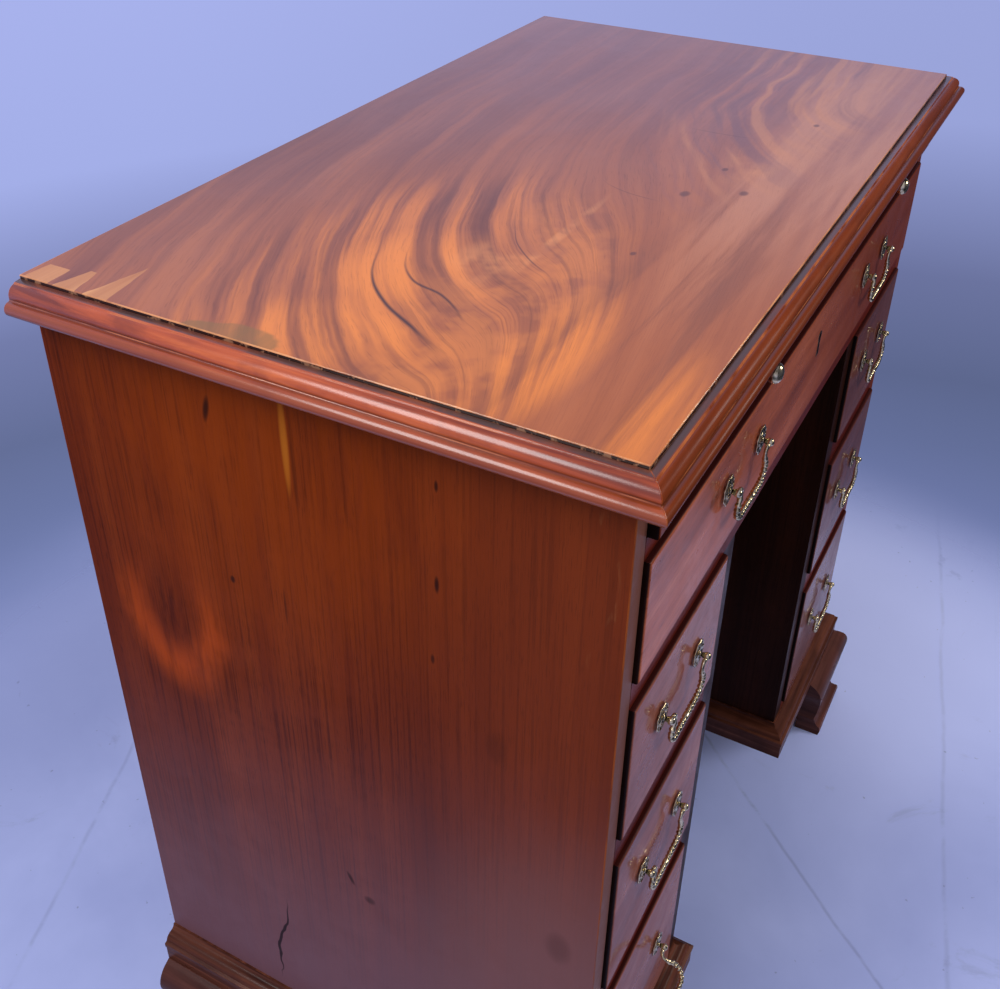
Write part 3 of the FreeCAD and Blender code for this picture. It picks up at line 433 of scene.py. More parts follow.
def flame_top(name):
    """The flame, the fainter arch, dark lines, knots, slips, worn edges and a painted reflection to
    the right, each by its place.
    """
    finish, tree, shader = finish_of(name)
    place = on_piece(tree)
    along, deep, _ = axes(tree, place)
    waver = cloud(tree, place, 2, 0.5, 0.2, 4.5)
    ruffle = cloud(tree, place, 3, 0.6, 0.0, 24.0)

    def flow(sweep, close, long):
        """Grain that follows a sweep: so many bands to the metre across it and along it."""
        inputs = {"X": times(tree, sweep, close), "Y": times(tree, along, long),
                  "Z": times(tree, deep, long)}
        return lay(tree, "CombineXYZ", inputs).outputs[0]

    def area(middle, size, soft=1.0):
        return patch(tree, along, deep, middle, size, soft)

    def sweep_about(middle_x, middle_y, squash=2.0):
        """Rings about a middle, left of it and behind it, that run straight on past both."""
        aside = none_below(tree, less(tree, middle_x, along))
        back = none_below(tree, reckon(tree, "ADD", deep, -middle_y))
        return slant(tree, aside, times(tree, back, squash))

    pull_from, pull = -0.055, -34.0
    near = none_below(tree, less(tree, pull_from, deep))
    flame = swayed(tree, sweep_about(0.107, -0.1105), times(tree, near, near), pull)
    flame = swayed(tree, swayed(tree, flame, waver, 0.06), ruffle, 0.006)
    arch = swayed(tree, swayed(tree, sweep_about(0.25, -0.17), ruffle, 0.012), waver, 0.12)

    drift = cloud(tree, flow(flame, 10.0, 2.2), 2, 0.5)
    bands = cloud(tree, flow(flame, 44.0, 3.0), 3, 0.55, 0.15)
    fine = cloud(tree, flow(flame, 190.0, 5.0), 3, 0.6)
    pores = cloud(tree, flow(flame, 900.0, 60.0), 1, 0.5)
    arches = cloud(tree, flow(arch, 30.0, 3.5), 3, 0.55, 0.2)
    straight = cloud(tree, spread(tree, place, (2.0, 34, 34)), 5, 0.6, 0.4)
    strip = between(tree, swayed(tree, deep, waver, 0.06), -0.115, -0.06)
    bands = lay(tree, "Mix", {0: strip, 2: straight, 3: bands}).outputs[0]
    lively = reckon(tree, "MAXIMUM", area((-0.27, 0.0), (0.26, 0.15)),
                    times(tree, area((0.24, -0.05), (0.16, 0.07)), 0.4))
    softer = between(tree, deep, -0.09, 0.01, 0.45, 1.0)

    colour = shades(tree, drift, ((0.35, tone(116, 62, 44)), (0.5, tone(136, 77, 53)),
                                  (0.65, tone(154, 92, 64))))
    colour = stained(tree, colour, tone(166, 90, 40), area((-0.33, -0.07), (0.6, 0.26)), 0.6)
    colour = stained(tree, colour, tone(212, 122, 50), between(tree, bands, 0.48, 0.66),
                     between(tree, lively, 0.0, 0.7, 0.12, 0.66), softer)
    colour = stained(tree, colour, tone(84, 37, 26), between(tree, bands, 0.52, 0.34),
                     between(tree, lively, 0.0, 0.7, 0.22, 0.7), softer)
    colour = stained(tree, colour, tone(216, 128, 56), between(tree, ruffle, 0.42, 0.62),
                     between(tree, lively, 0.2, 0.8), between(tree, deep, 0.03, -0.05), 0.4)
    colour = stained(tree, colour, tone(80, 36, 22), between(tree, fine, 0.5, 0.36),
                     between(tree, lively, 0.0, 0.8, 0.12, 0.3))
    # Painted reflection: a mauve sheen laid into the wood towards the right.
    colour = stained(tree, colour, tone(129, 87, 101), between(tree, along, -0.15, 0.3, 0.0, 0.5))

    for middle, size in (((-0.325, 0.012), (0.05, 0.065)), ((-0.23, 0.02), (0.07, 0.05)),
                         ((-0.29, -0.105), (0.1, 0.03)), ((-0.34, -0.178), (0.12, 0.02))):
        colour = stained(tree, colour, tone(224, 130, 48), area(middle, size),
                         between(tree, bands, 0.4, 0.6, 0.1, 0.7))
    colour = stained(tree, colour, tone(184, 124, 96), area((0.16, -0.15), (0.42, 0.075)),
                     between(tree, straight, 0.35, 0.6, 0.2, 0.8))
    beyond = area((0.2, -0.085), (0.32, 0.095))
    colour = stained(tree, colour, tone(196, 128, 84), beyond,
                     between(tree, arches, 0.52, 0.66), 0.5)
    colour = stained(tree, colour, tone(108, 68, 76), beyond,
                     between(tree, arches, 0.5, 0.36), 0.65)
    for middle, size, strength in (((-0.135, -0.042), (0.08, 0.005), 0.45),
                                   ((-0.2, -0.02), (0.04, 0.03), 0.35),
                                   ((0.045, -0.11), (0.06, 0.025), 0.35)):
        colour = stained(tree, colour, tone(220, 146, 90), area(middle, size),
                         between(tree, ruffle, 0.35, 0.65), strength)
    colour = stained(tree, colour, tone(98, 52, 36), area((-0.26, -0.135), (0.34, 0.05)),
                     between(tree, straight, 0.52, 0.36), 0.6)

    for points, width, strength in (
            (((-0.056, -0.316), (-0.026, -0.297), (0.008, -0.276), (0.033, -0.25), (0.05, -0.216),
              (0.07, -0.176)), 0.003, 0.95),
            (((-0.052, -0.283), (-0.02, -0.2545), (0.008, -0.244), (0.03, -0.215), (0.042, -0.17)),
             0.0022, 0.85),
            (((-0.064, -0.2), (-0.027, -0.171), (-0.014, -0.152), (0.014, -0.092)), 0.0013, 0.6),
            (((-0.08, -0.056), (-0.045, -0.05), (-0.02, -0.03)), 0.0012, 0.35),
            (((-0.1, 0.103), (-0.06, 0.098), (-0.03, 0.104)), 0.0013, 0.35)):
        line = drawn_line(tree, along, deep, points, width)
        colour = stained(tree, colour, tone(48, 18, 10), line, strength)
    for middle, size in (((-0.034, -0.087), 0.0045), ((-0.013, -0.123), 0.004),
                         ((0.025, -0.096), 0.003), ((0.155, -0.128), 0.003),
                         ((-0.144, -0.094), 0.0025)):
        knot = area(middle, (size * 1.5, size), 0.9)
        colour = stained(tree, colour, tone(76, 34, 22), knot, 0.7)
    flecks = between(tree, pores, 0.58, 0.7, 0.0, 0.2)
    colour = stained(tree, colour, tone(60, 26, 14), flecks)

    new_wood = shades(tree, straight, ((0.35, tone(170, 108, 62)), (0.65, tone(204, 144, 92))))
    ragged = wavering(tree, deep, ruffle, 0.006)
    for middle, half, tip, blunt in ((0.2045, 0.0105, -0.336, 0.8), (0.181, 0.009, -0.331, 0.25),
                                     (0.157, 0.009, -0.3105, 0.0)):
        taper = evenly(tree, along, -field_half, tip, half, half * blunt)
        within = reckon(tree, "GREATER_THAN", taper, gap(tree, ragged, middle))
        colour = stained(tree, colour, new_wood, within,
                         reckon(tree, "LESS_THAN", along, tip), 0.85)
    torn = wavering(tree, deep, ruffle, 0.05)
    faded = patch(tree, swayed(tree, along, torn, 0.2), torn, (-0.343, 0.065), (0.016, 0.034), 0.3)
    colour = stained(tree, colour, tone(118, 88, 40), faded,
                     between(tree, straight, 0.3, 0.6, 0.45, 0.75))

    _, look_back, look_up = facing(tree)
    chips = between(tree, cloud(tree, place, 3, 0.6, 0.0, 130.0), 0.54, 0.62, 0.0, 0.7)
    edge = stained(tree, tone(34, 15, 11), tone(150, 108, 84), chips)
    behind = shades(tree, straight, ((0.36, tone(66, 28, 16)), (0.64, tone(112, 56, 32))))
    edge = stained(tree, edge, behind, between(tree, look_back, 0.5, 0.8))
    colour = stained(tree, colour, edge, between(tree, look_up, 0.5, 0.2))
    colour = stained(tree, colour, tone(206, 142, 96), rubbed_edges(tree),
                     between(tree, ruffle, 0.4, 0.6, 0.15, 0.8))
    smear = cloud(tree, place, 5, 0.6, 0.5, 11.0)
    rubbing = between(tree, smear, 0.3, 0.75, 0.3, 0.48)
    height = less(tree, times(tree, fine, 0.5), flecks)
    polish(tree, shader, colour, rubbing, height, coat=1.0, gloss=0.17)
    return finish


eased("flame_top_board", "top_board", flame_top("flame_top_polish"), arris=0.0007)

# The top's moulding: run in mahogany, planted on the front and both ends and mitred at the front
# corners. Its flat upper lip is rubbed grey and its bead bright. The narrow groove between the two
# is painted dark as shade, and the front run is painted browner and darker than the ends as shade.


def moulding_wear(tree, place, mottle, colour):
    """The redder bead, painted shade in the narrow groove and on the front run, and the greyed lip.
    """
    bead_from, bead_full, quirk_level, lip_in, lip_out = 0.784, 0.781, 0.7838, 0.0036, 0.0046
    along, deep, up = axes(tree, place)
    _, _, look_up = facing(tree)
    bead = between(tree, up, bead_from, bead_full)
    colour = stained(tree, colour, tone(120, 54, 21), bead, 0.75)
    # Painted shade: a dark line along the narrow groove above the bead.
    quirk_shade = between(tree, gap(tree, up, quirk_level), 0.0004, 0.0014, 0.6, 0.0)
    colour = stained(tree, colour, tone(58, 22, 12), quirk_shade)
    beside = less(tree, reckon(tree, "ABSOLUTE", along), field_half)
    ahead = less(tree, field_front, deep)
    # Painted shade: the front run, browner and darker than the lit ends.
    front = between(tree, less(tree, ahead, beside), 0.0, 0.0008, 0.0, 0.75)
    colour = stained(tree, colour, tone(88, 38, 20), front)
    lip = between(tree, reckon(tree, "MAXIMUM", beside, ahead), lip_out, lip_in)
    return stained(tree, colour, tone(66, 48, 46), lip, between(tree, look_up, 0.6, 0.9),
                   between(tree, mottle, 0.3, 0.6, 0.5, 0.95))


edge_wood = (tone(104, 38, 15), tone(160, 70, 31), tone(194, 98, 48))
edge_polish = run_mahogany("top_moulding_polish", *edge_wood, seed=(0.7, 0.2, 0.5), coat=0.9,
                           gloss=0.24, shellac=1.6, wear=moulding_wear)
for side in ("front", "left", "right"):
    eased(f"{side}_edge_moulding", f"top_moulding_{side}", edge_polish, arris=0.0004, moulded=True)

# The brushing slide: a mahogany panel with clamped ends and a lipped front, which draws out over
# the long drawer on its dustboard. The lip's ends are painted black, partly as old dirt and partly
# as shade in the gap beside them.


def grimed_and_shaded_ends(tree, place, colour):
    """Ends and upper edges: nearly black at the ends and dark red above, painted partly as old dirt
    that no cloth reaches and partly as shade in the gaps round the front.
    """
    look_aside, _, look_up = facing(tree)
    proud_from, proud_full = -0.178, -0.184
    proud = between(tree, axes(tree, place)[1], proud_from, proud_full)
    # Painted partly as dirt and partly as shade: dark red on the proud upper edge, near black on
    # the ends.
    colour = stained(tree, colour, tone(54, 19, 17), between(tree, look_up, 0.5, 0.9), proud)
    end = between(tree, reckon(tree, "ABSOLUTE", look_aside), 0.5, 0.9, 0.0, 0.97)
    return stained(tree, colour, tone(12, 6, 5), end, proud)


def wiped_faces(tree):
    """Where a cloth reaches: the flat of the front, and neither its ends nor its upper edge."""
    look_aside, _, look_up = facing(tree)
    return times(tree, between(tree, look_up, 0.5, 0.1),
                 between(tree, reckon(tree, "ABSOLUTE", look_aside), 0.5, 0.1))


dress(mahogany("slide_panel_polish", "X", *upright, seed=(1.1, 0.4, 0.9)), "slide_panel")
dress(mahogany("slide_front_polish", "X", *upright, seed=(0.8, 0.9, 2.3), coat=0.2,
               marks=grimed_and_shaded_ends, wiped=wiped_faces), "slide_frame")

# The drawer fronts: mahogany with the grain along the front, the long one figured, their arrises
# rounded over. They are polished harder than the case and mirror the floor and their handles.
# The right pedestal's fronts are the left's wood painted darker, as painted shade.


def warm_middle(tree, place, colour):
    """The long front: a glow at its middle, riper wood to the right, and ends painted as dirt and
    shade.
    """
    along, _, up = axes(tree, place)
    glow = patch(tree, along, up, (-0.05, 0.66), (0.3, 0.08))
    colour = stained(tree, colour, tone(160, 80, 48), glow, 0.3)
    ripe = between(tree, along, -0.15, 0.2, 0.0, 0.85)
    colour = stained(tree, colour, tone(88, 31, 14), ripe)
    return grimed_and_shaded_ends(tree, place, colour)


def duller_right(tree):
    """The long front, wiped most at its left end."""
    along = axes(tree, on_piece(tree))[0]
    return times(tree, wiped_faces(tree), between(tree, along, -0.1, 0.2, 1.0, 0.2))


hard_polish = {"rub": (0.25, 0.4), "gloss": 0.05, "lines": 0.2}
front_wood = (tone(84, 36, 27), tone(154, 81, 57), tone(190, 112, 84))
dress(mahogany("long_front_polish", "X", *front_wood, seed=(0.35, 0.7, 0.2), swirl=2.4, coat=0.32,
               marks=warm_middle, wiped=duller_right, **hard_polish), "long_drawer_front")
# Painted shade: the right pedestal's wood is the left's made darker.
short_wood_and_shade = {"left": (tone(90, 45, 36), tone(127, 70, 55), tone(151, 92, 75)),
               "right": (tone(63, 28, 22), tone(90, 46, 37), tone(112, 64, 51))}
short_drawers = [(side, f"{side}_{row}") for side in ("left", "right")
                 for row in ("top", "middle", "bottom")]
for number, (side, name) in enumerate(short_drawers):
    seed = (0.37 * number, 1.1 + 0.5 * number, 0.3 * number)
    dress(mahogany(name + "_front_polish", "X", *short_wood_and_shade[side], seed=seed, swirl=1.4, coat=0.36,
                   marks=grimed_and_shaded_ends, wiped=wiped_faces, **hard_polish), name + "_drawer_front")

# The drawer boxes: thin plain boards of mahogany, dovetailed and left without polish, gone dry
# and a little paler than the fronts.
box_wood = (tone(84, 50, 30), tone(120, 77, 49), tone(150, 104, 72))
for number, name in enumerate(["long"] + [name for _, name in short_drawers]):
    dress(mahogany(name + "_box_wood", "Y", *box_wood, seed=(0.2 * number, 0.6 * number, 0.9),
                   rub=(0.55, 0.8), coat=0.0), name + "_drawer_box")

# The handle plates: cast and pierced brass rosettes on every drawer front, each with a turned post
# whose ball takes the pin of a bail. Rubbed bright where fingers reach, dark in the hollows.
casting_seam = 1e-6
front_face = -0.1901
pin_out = 0.0075
handle_spacing = 0.064
long_aside, long_level = 0.172, 0.684
short_aside = 0.253
short_levels = {"top": 0.562, "middle": 0.4125, "bottom": 0.2415}


def aged_brass(name, dull=0.0):
    """Old cast brass, mottled with tarnish."""
    finish, tree, shader = finish_of(name)
    tarnish = cloud(tree, on_piece(tree), 5, 0.65, 0.6, 210.0)
    hollows = lay(tree, "AmbientOcclusion", {"Distance": 0.004}, samples=8, only_local=True)
    worn = times(tree, between(tree, hollows.outputs["AO"], 0.35, 0.9),
                 between(tree, tarnish, 0.28, 0.55, 0.5, 1.0))
    colour = shades(tree, worn, ((0.0, tone(22, 18, 12)), (0.5, tone(98, 84, 56)),
                                 (1.0, tone(234, 214, 168))))
    bump = lay(tree, "Bump", {"Height": tarnish, "Strength": 0.15, "Distance": 0.0003})
    feed(tree, shader, {"Base Color": stained(tree, colour, tone(70, 54, 30), dull),
                        "Roughness": between(tree, tarnish, 0.3, 0.7, 0.12, 0.28),
                        "Normal": bump.outputs[0], "Metallic": 1.0})
    return finish


def spun(shape, outline, steps):
    """A turned form: an outline of (radius, height) turned about Z."""
    points = [shape.verts.new((radius, 0, height)) for radius, height in outline]
    edges = [shape.edges.new(pair) for pair in zip(points, points[1:])]
    bmesh.ops.spin(shape, geom=points + edges, cent=(0, 0, 0), axis=(0, 0, 1), dvec=(0, 0, 0),
                   angle=math.tau, steps=steps, use_merge=True)


def cast(name, shape, finish, body, stands_for):
    """A casting, its seams closed and its surface smooth, as a piece of brass."""
    bmesh.ops.remove_doubles(shape, verts=shape.verts, dist=casting_seam)
    bmesh.ops.recalc_face_normals(shape, faces=shape.faces)
    for face in shape.faces:
        face.smooth = True
    piece(name, shape, finish, body, stands_for)


def drawn_on(shape, edges):
    """A rim drawn on from its edges: the new ring's corners and its own edges."""
    made = bmesh.ops.extrude_edge_only(shape, edges=edges)["geom"]
    ring = [item for item in made if isinstance(item, bmesh.types.BMVert)]
    rim = [item for item in made if isinstance(item, bmesh.types.BMEdge)
           and all(end in ring for end in item.verts)]
    return ring, rim


def rosette(shape):
    """One pierced plate with its post, on the XY plane, the post along Z."""
    lobes, hole_from, hole_to = 8, 0.25, 0.75
    ring_sizes, ring_lifts = (0.84, 0.6, 0.44, 0.3), (0.0, 0.35, 0.1, 0.7, 0.9)
    rim_middle, rim_wave = 0.93, 0.07
    half_wide, half_tall, dish, thick, stand_off = 0.0095, 0.01075, 0.001, 0.0009, 0.00095
    ball_radius = 0.0029
    rim = bmesh.ops.create_circle(shape, cap_ends=False, segments=6 * lobes, radius=1.0)["verts"]
    rings = [rim]
    edges = shape.edges[:]
    for size in ring_sizes:
        ring, edges = drawn_on(shape, edges)
        bmesh.ops.scale(shape, vec=(size / ring[0].co.length,) * 3, verts=ring)
        rings.append(ring)
    holes = []
    for face in shape.faces:
        middle = face.calc_center_median()
        lobe = (math.atan2(middle.x, middle.y) * lobes / math.tau) % 1.0
        if ring_sizes[1] < middle.length < ring_sizes[0] and hole_from < lobe < hole_to:
            holes.append(face)
    bmesh.ops.delete(shape, geom=holes, context="FACES")
    for vert in rim:
        lobe = math.cos(math.atan2(vert.co.x, vert.co.y) * lobes)
        vert.co *= rim_middle - rim_wave * lobe
    for ring, lift in zip(rings, ring_lifts):
        bmesh.ops.translate(shape, vec=(0, 0, lift), verts=ring)
    bmesh.ops.scale(shape, vec=(half_wide, half_tall, dish), verts=shape.verts)
    bmesh.ops.solidify(shape, geom=shape.faces[:], thickness=-thick)
    bmesh.ops.translate(shape, vec=(0, 0, stand_off), verts=shape.verts)
    post = [(0.0030, 0.0012), (0.0030, 0.0019), (0.0022, 0.0024), (0.0015, 0.0031),
            (0.0014, 0.0039), (0.0020, 0.0046)]
    ball = [(ball_radius * math.sin(turn), pin_out - ball_radius * math.cos(turn))
            for turn in [math.radians(degrees) for degrees in range(44, 171, 14)]]
    spun(shape, post + ball + [(0.0, pin_out + ball_radius)], steps=16)
    bmesh.ops.remove_doubles(shape, verts=shape.verts, dist=casting_seam)


def set_on(shape, one, place):
    """A small form, made lying down, stood out from the front at its place on a larger one."""
    outward = Matrix.Rotation(math.pi / 2, 3, "X")
    bmesh.ops.rotate(one, cent=(0, 0, 0), matrix=outward, verts=one.verts)
    bmesh.ops.translate(one, vec=place, verts=one.verts)
    mesh = bpy.data.meshes.new("part")
    one.to_mesh(mesh)
    one.free()
    shape.from_mesh(mesh)
    bpy.data.meshes.remove(mesh)


def plates(name, centres, body, stands_for):
    shape = bmesh.new()
    for middle_x, level in centres:
        for side in (-1, 1):
            one = bmesh.new()
            rosette(one)
            set_on(shape, one, (middle_x + side * handle_spacing / 2, front_face, level))
    cast(name, shape, handle_brass, body, stands_for)


handle_brass = aged_brass("handle_brass")
plates("long_drawer_rosettes", [(-long_aside, long_level), (long_aside, long_level)],
       "long_drawer", "long_drawer_plates")
for side, middle_x in (("left", -short_aside), ("right", short_aside)):
    for row, level in short_levels.items():
        drawer = f"{side}_{row}_drawer"
        plates(drawer + "_rosettes", [(middle_x, level)], drawer, drawer + "_plates")

# The bails: cast brass swan-neck loops, plain at the necks, leafed at the shoulders and beaded
# along the bow, with a ribbed knop in the middle. Their pins turn in the balls of the posts. The
# lowest left one is stiff and stands out from its drawer.


def bail(name, middle_x, level, body, stands_for, lean=0):
    """One loop: half a rod, drawn on ring by ring from its pin to the knop, and mirrored."""
    rod_sides, pin_tip, pin_length, pin_radius = 12, 0.0332, 0.0046, 0.001
    collar_length, collar_start, collar_end = 0.0005, 0.0015, 0.0016
    neck_centre, neck_turn = Vector((0.0281, 0, -0.004)), -90
    neck = [0.0016, 0.0015, 0.0014, 0.0013, 0.0013, 0.0013]
    leaf_centre, leaf_turn = Vector((0.0361, 0, -0.004)), -35
    leaf = [0.0014, 0.0015, 0.0017, 0.0021, 0.0019, 0.0016]
    bow_centre, bow_turn, bow_beads = Vector((0.01866, 0, -0.01621)), 125, 6
    bead, bead_step, straight_beads = [0.0018, 0.0022, 0.0023, 0.0021, 0.0013], 0.00078, 3
    knop = [0.0019, 0.0023, 0.0016, 0.0018, 0.0022, 0.0023, 0.0022]

    shape = bmesh.new()
    size = pin_radius
    ring = bmesh.ops.create_circle(shape, cap_ends=True, segments=rod_sides, radius=size)["verts"]
    rim = shape.edges[:]
    sideways = Matrix.Rotation(math.pi / 2, 3, "Y")
    bmesh.ops.rotate(shape, cent=(0, 0, 0), matrix=sideways, verts=ring)
    bmesh.ops.translate(shape, vec=(pin_tip, 0, 0), verts=ring)

    def carry(move, radius):
        """The rod drawn on by one step and swelled or thinned to a radius."""
        nonlocal ring, rim, size
        ring, rim = drawn_on(shape, rim)
        bmesh.ops.transform(shape, matrix=move, verts=ring)
        middle = sum((vert.co for vert in ring), Vector()) / len(ring)
        bmesh.ops.scale(shape, vec=(radius / size,) * 3, space=Matrix.Translation(-middle),
                        verts=ring)
        size = radius

    def bend(centre, degrees, radii):
        step = Matrix.Rotation(math.radians(degrees) / len(radii), 4, "Y")
        for radius in radii:
            carry(Matrix.Translation(centre) @ step @ Matrix.Translation(-centre), radius)

    def run_on(step, radii):
        for radius in radii:
            carry(Matrix.Translation((-step, 0, 0)), radius)

    run_on(pin_length, [pin_radius])
    run_on(0, [collar_start])
    run_on(collar_length, [collar_end])
    bend(neck_centre, neck_turn, neck)
    bend(leaf_centre, leaf_turn, leaf)
    bend(bow_centre, bow_turn, bead * bow_beads)
    run_on(bead_step, bead * straight_beads)
    left = sum(vert.co.x for vert in ring) / len(ring)
    run_on(left / len(knop), knop)
    for vert in ring:
        vert.co.x = 0
    whole = shape.verts[:] + shape.edges[:] + shape.faces[:]
    bmesh.ops.mirror(shape, geom=whole, merge_dist=casting_seam, axis="X")
    swing = Matrix.Rotation(math.radians(-lean), 3, "X")
    bmesh.ops.rotate(shape, cent=(0, 0, 0), matrix=swing, verts=shape.verts)
    bmesh.ops.translate(shape, vec=(middle_x, front_face - pin_out, level), verts=shape.verts)
    cast(name, shape, handle_brass, body, stands_for)


for side, middle_x in (("left", -long_aside), ("right", long_aside)):
    bail(f"long_drawer_{side}_loop", middle_x, long_level, f"long_drawer_{side}_handle",
         f"long_drawer_bail_{side}")
stiff_lean = 53.5
for side, middle_x in (("left", -short_aside), ("right", short_aside)):
    for row, level in short_levels.items():
        lean = stiff_lean if (side, row) == ("left", "bottom") else 0
        bail(f"{side}_{row}_loop", middle_x, level, f"{side}_{row}_handle",
             f"{side}_{row}_drawer_bail", lean)

# The slide's knobs: two small brass knobs, cast and turned, screwed into the slide's front edge,
# by which it is drawn out. Fingers keep them as bright as the handles.
knob_aside, knob_level, slide_face = 0.171, 0.7535, -0.193
knob_outline = [(0.0, 0.0), (0.0048, 0.0), (0.0050, 0.0007), (0.0034, 0.0014), (0.0024, 0.0026),
                (0.0025, 0.0036), (0.0044, 0.0044), (0.0062, 0.0058), (0.0068, 0.0076),
                (0.0065, 0.0096), (0.0052, 0.0115), (0.0030, 0.0126), (0.0, 0.0130)]
knobs = bmesh.new()
for middle_x in (-knob_aside, knob_aside):
    knob = bmesh.new()
    spun(knob, knob_outline, steps=24)
    set_on(knobs, knob, (middle_x, slide_face, knob_level))
cast("slide_turned_knobs", knobs, handle_brass, "brushing_slide", "slide_knobs")

# The lock with the keyhole's thread, and the cupboard's hinges and knob: brass, let in or screwed
# on, and duller than the handles because no hand polishes them.
dress(aged_brass("dull_brass", 0.6),
      "long_drawer_lock", "cupboard_hinge_leaves", "cupboard_door_fittings")

# The floor: a plain pale blue-grey sheet with a few scuffs and specks, that fades into the backdrop
# a pace from the desk. Painted shade stands for its soft bends and creases, and painted shadow and
# light lie about the desk. It belongs to the stage and not to the desk.


def towards(tree, vector, way):
    """How far a vector reaches along a way."""
    return lay(tree, "VectorMath", {0: vector, 1: way}, operation="DOT_PRODUCT").outputs["Value"]


floor_half, fade_from, fade_to, crease_wave = 2.0, 0.62, 0.95, 0.02
floor_finish, tree, shader = finish_of("floor_sheet")
place = on_piece(tree)
along, deep, _ = axes(tree, place)
# Painted shade: broad soft mottling for the gentle bends of the sheet.
fold_shade = cloud(tree, place, 5, 0.55, 0.2, 4.0)
colour = shades(tree, fold_shade, ((0.32, tone(154, 166, 224)), (0.68, tone(174, 186, 243))))
# Painted light: a faint painted shadow before the desk, a painted pool of light to its right, and
# painted shade behind it.
for middle, size, strength, shade in (((-0.05, -0.4), (0.45, 0.35), 0.15, (132, 136, 178)),
                                      ((0.6, -0.22), (0.5, 0.4), 0.8, (192, 202, 255)),
                                      ((-0.1, 0.72), (0.45, 0.28), 0.7, (136, 148, 204))):
    colour = stained(tree, colour, tone(*shade), patch(tree, along, deep, middle, size), strength)
scuffs = cloud(tree, place, 6, 0.7, 1.5, 7.0)
colour = stained(tree, colour, tone(112, 118, 150), between(tree, scuffs, 0.6, 0.72, 0.0, 0.25))
# Painted shade: the creases, drawn as thin dark lines.
for slope, offset, width, strength in (((0.76, -0.65, 0.0), 0.2344, 0.0032, 0.3),
                                       ((0.35, -0.94, 0.0), -0.52, 0.004, 0.2),
                                       ((-0.2, 0.98, 0.0), -0.42, 0.004, 0.15)):
    off = less(tree, towards(tree, place, slope), offset + crease_wave / 2)
    across = swayed(tree, off, fold_shade, crease_wave)
    crease_shade = between(tree, reckon(tree, "ABSOLUTE", across), 0.0, width, strength, 0.0)
    colour = stained(tree, colour, tone(84, 90, 124), crease_shade, between(tree, scuffs, 0.35, 0.55))
specks = between(tree, cloud(tree, place, 2, 0.5, 0.0, 95.0), 0.72, 0.76, 0.0, 0.35)
feed(tree, shader, {"Base Color": stained(tree, colour, tone(80, 84, 110), specks),
                    "Roughness": 0.75, "Specular IOR Level": 0.2})
away = lay(tree, "VectorMath", {0: place}, operation="LENGTH").outputs["Value"]
clear = lay(tree, "BsdfTransparent").outputs[0]
faded = between(tree, away, fade_from, fade_to)
edge = lay(tree, "MixShader", {0: faded, 1: shader.outputs[0], 2: clear})
feed(tree, tree.nodes["Material Output"], {"Surface": edge.outputs[0]})
floor_shape = bmesh.new()
bmesh.ops.create_grid(floor_shape, x_segments=2, y_segments=2, size=floor_half)
floor_mesh = bpy.data.meshes.new("floor")
floor_shape.to_mesh(floor_mesh)
floor_shape.free()
floor_mesh.materials.append(floor_finish)
floor = bpy.data.objects.new("floor", floor_mesh)
bpy.context.scene.collection.objects.link(floor)

# The light: an even warm room with a pale backdrop that darkens low down and to the right, most of
# all in what the polish mirrors; the dark band low on the backdrop is painted shade. A large soft
# lamp hangs high at the left and another stands before the desk, and a small bright one at the
# front right gives the brass its glints.
scene = bpy.context.scene
world = bpy.data.worlds.new("studio")
scene.world = world
world.use_nodes = True
tree = world.node_tree
outward = lay(tree, "TexCoord").outputs["Generated"]
view_right, horizon_tilt, lowest, highest = (0.4757, -0.8796, 0.0), -0.065, -0.7, 0.3
rightward = towards(tree, outward, view_right)
height = swayed(tree, axes(tree, outward)[2], rightward, horizon_tilt)
# Painted shade: the darker band low on the backdrop.
backdrop = shades(tree, evenly(tree, height, lowest, highest), (
    (0.03, tone(146, 156, 208)), (0.07, tone(143, 153, 206)), (0.11, tone(118, 130, 180)),
    (0.155, tone(107, 119, 164)), (0.2, tone(100, 111, 152)), (0.27, tone(115, 124, 170)),
    (0.325, tone(140, 150, 202)), (0.38, tone(164, 175, 232)), (0.5, tone(168, 178, 236)),
    (1.0, tone(182, 188, 228))))
seen = lay(tree, "LightPath").outputs
dark_right = reckon(tree, "MAXIMUM", seen["Is Camera Ray"],
                    between(tree, rightward, 0.38, 0.6, 1.0, 0.15))
dimmer = times(tree, between(tree, rightward, -0.35, 0.36, 1.0, 0.86), dark_right)
shown = reckon(tree, "MAXIMUM", seen["Is Camera Ray"],
               reckon(tree, "MAXIMUM", seen["Is Glossy Ray"], seen["Is Transmission Ray"]))
pale = lay(tree, "Background", {"Color": backdrop, "Strength": dimmer})
even = lay(tree, "Background", {"Color": (1.0, 0.96, 0.92, 1.0), "Strength": 0.42})
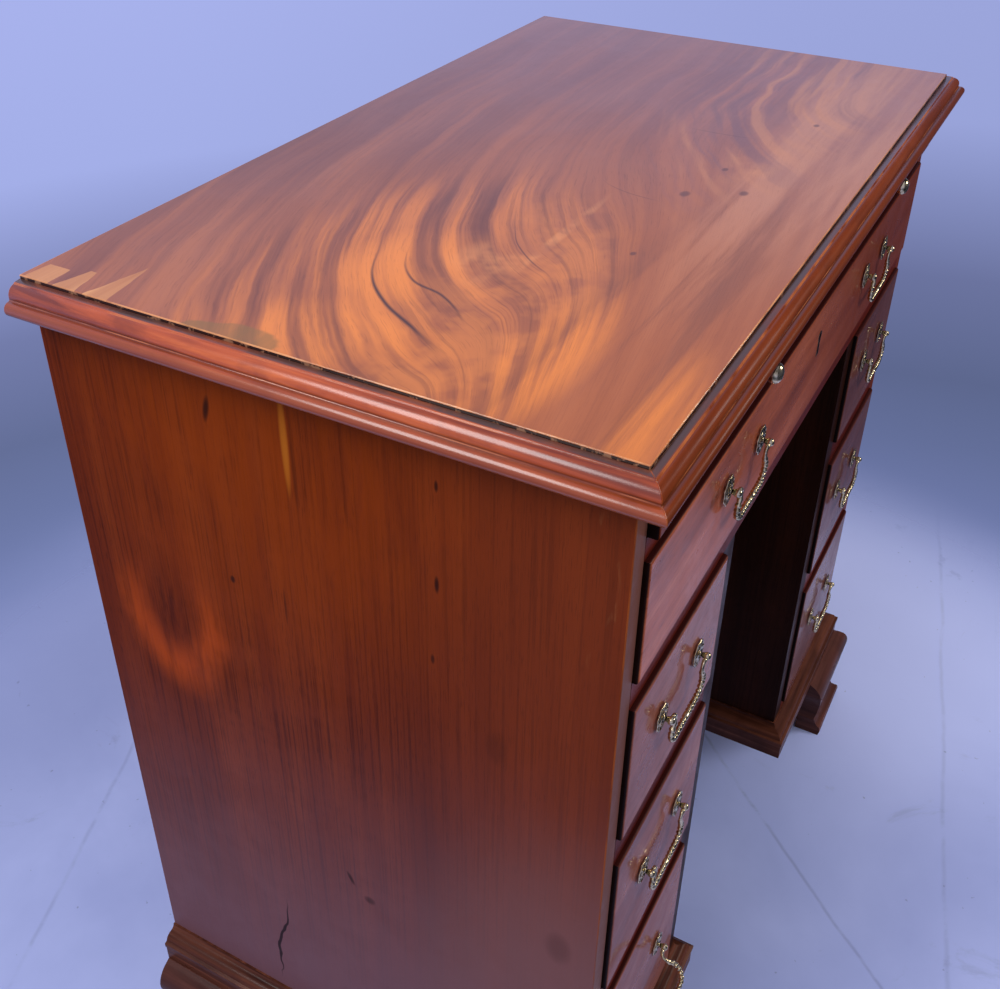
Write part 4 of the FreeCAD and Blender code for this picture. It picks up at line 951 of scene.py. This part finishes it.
both = lay(tree, "MixShader", {0: shown, 1: even.outputs[0], 2: pale.outputs[0]})
feed(tree, tree.nodes["World Output"], {"Surface": both.outputs[0]})


def lamp(name, place, aim, size, power, colour, mirrored=True):
    light = bpy.data.lights.new(name, "AREA")
    light.shape = "DISK"
    light.size = size
    light.energy = power
    light.color = colour
    thing = bpy.data.objects.new(name, light)
    thing.location = place
    thing.rotation_euler = (Vector(aim) - Vector(place)).to_track_quat("-Z", "Y").to_euler()
    thing.visible_glossy = mirrored
    scene.collection.objects.link(thing)


lamp("side_lamp", place=(-1.5, 0.45, 2.3), aim=(-0.1, 0.0, 0.6), size=1.5, power=46,
     colour=(1.0, 0.98, 0.97))
lamp("front_lamp", place=(0.7, -2.2, 1.8), aim=(-0.1, -0.1, 0.5), size=2.2, power=24,
     colour=(1.0, 0.97, 0.94), mirrored=False)
lamp("glint_lamp", place=(1.3, -1.8, 1.6), aim=(0.0, -0.1, 0.5), size=0.6, power=14,
     colour=(1.0, 0.98, 0.95))

# The camera: held above the left front corner and looking down across the top, with the lens and
# the place that the photograph's own lines give.
eye = (-0.7873, -0.3407, 1.1119)
yaw, pitch, roll = math.radians(28.407), math.radians(32.921), math.radians(0.522)
level_right = Vector((math.sin(yaw), -math.cos(yaw), 0))
ahead = Vector((math.cos(yaw) * math.cos(pitch), math.sin(yaw) * math.cos(pitch),
                -math.sin(pitch)))
level_up = level_right.cross(ahead)
right = level_right * math.cos(roll) + level_up * math.sin(roll)
up = level_up * math.cos(roll) - level_right * math.sin(roll)
lens = bpy.data.cameras.new("camera")
lens.sensor_fit = "HORIZONTAL"
lens.sensor_width = 36.0
lens.lens = 42.41
lens.shift_x = 0.0092
lens.shift_y = -0.0744
lens.clip_start = 0.01
camera = bpy.data.objects.new("camera", lens)
turned = Matrix((right, up, -ahead)).transposed().to_4x4()
camera.matrix_world = Matrix.Translation(eye) @ turned
scene.collection.objects.link(camera)
scene.camera = camera
scene.view_settings.view_transform = "Standard"
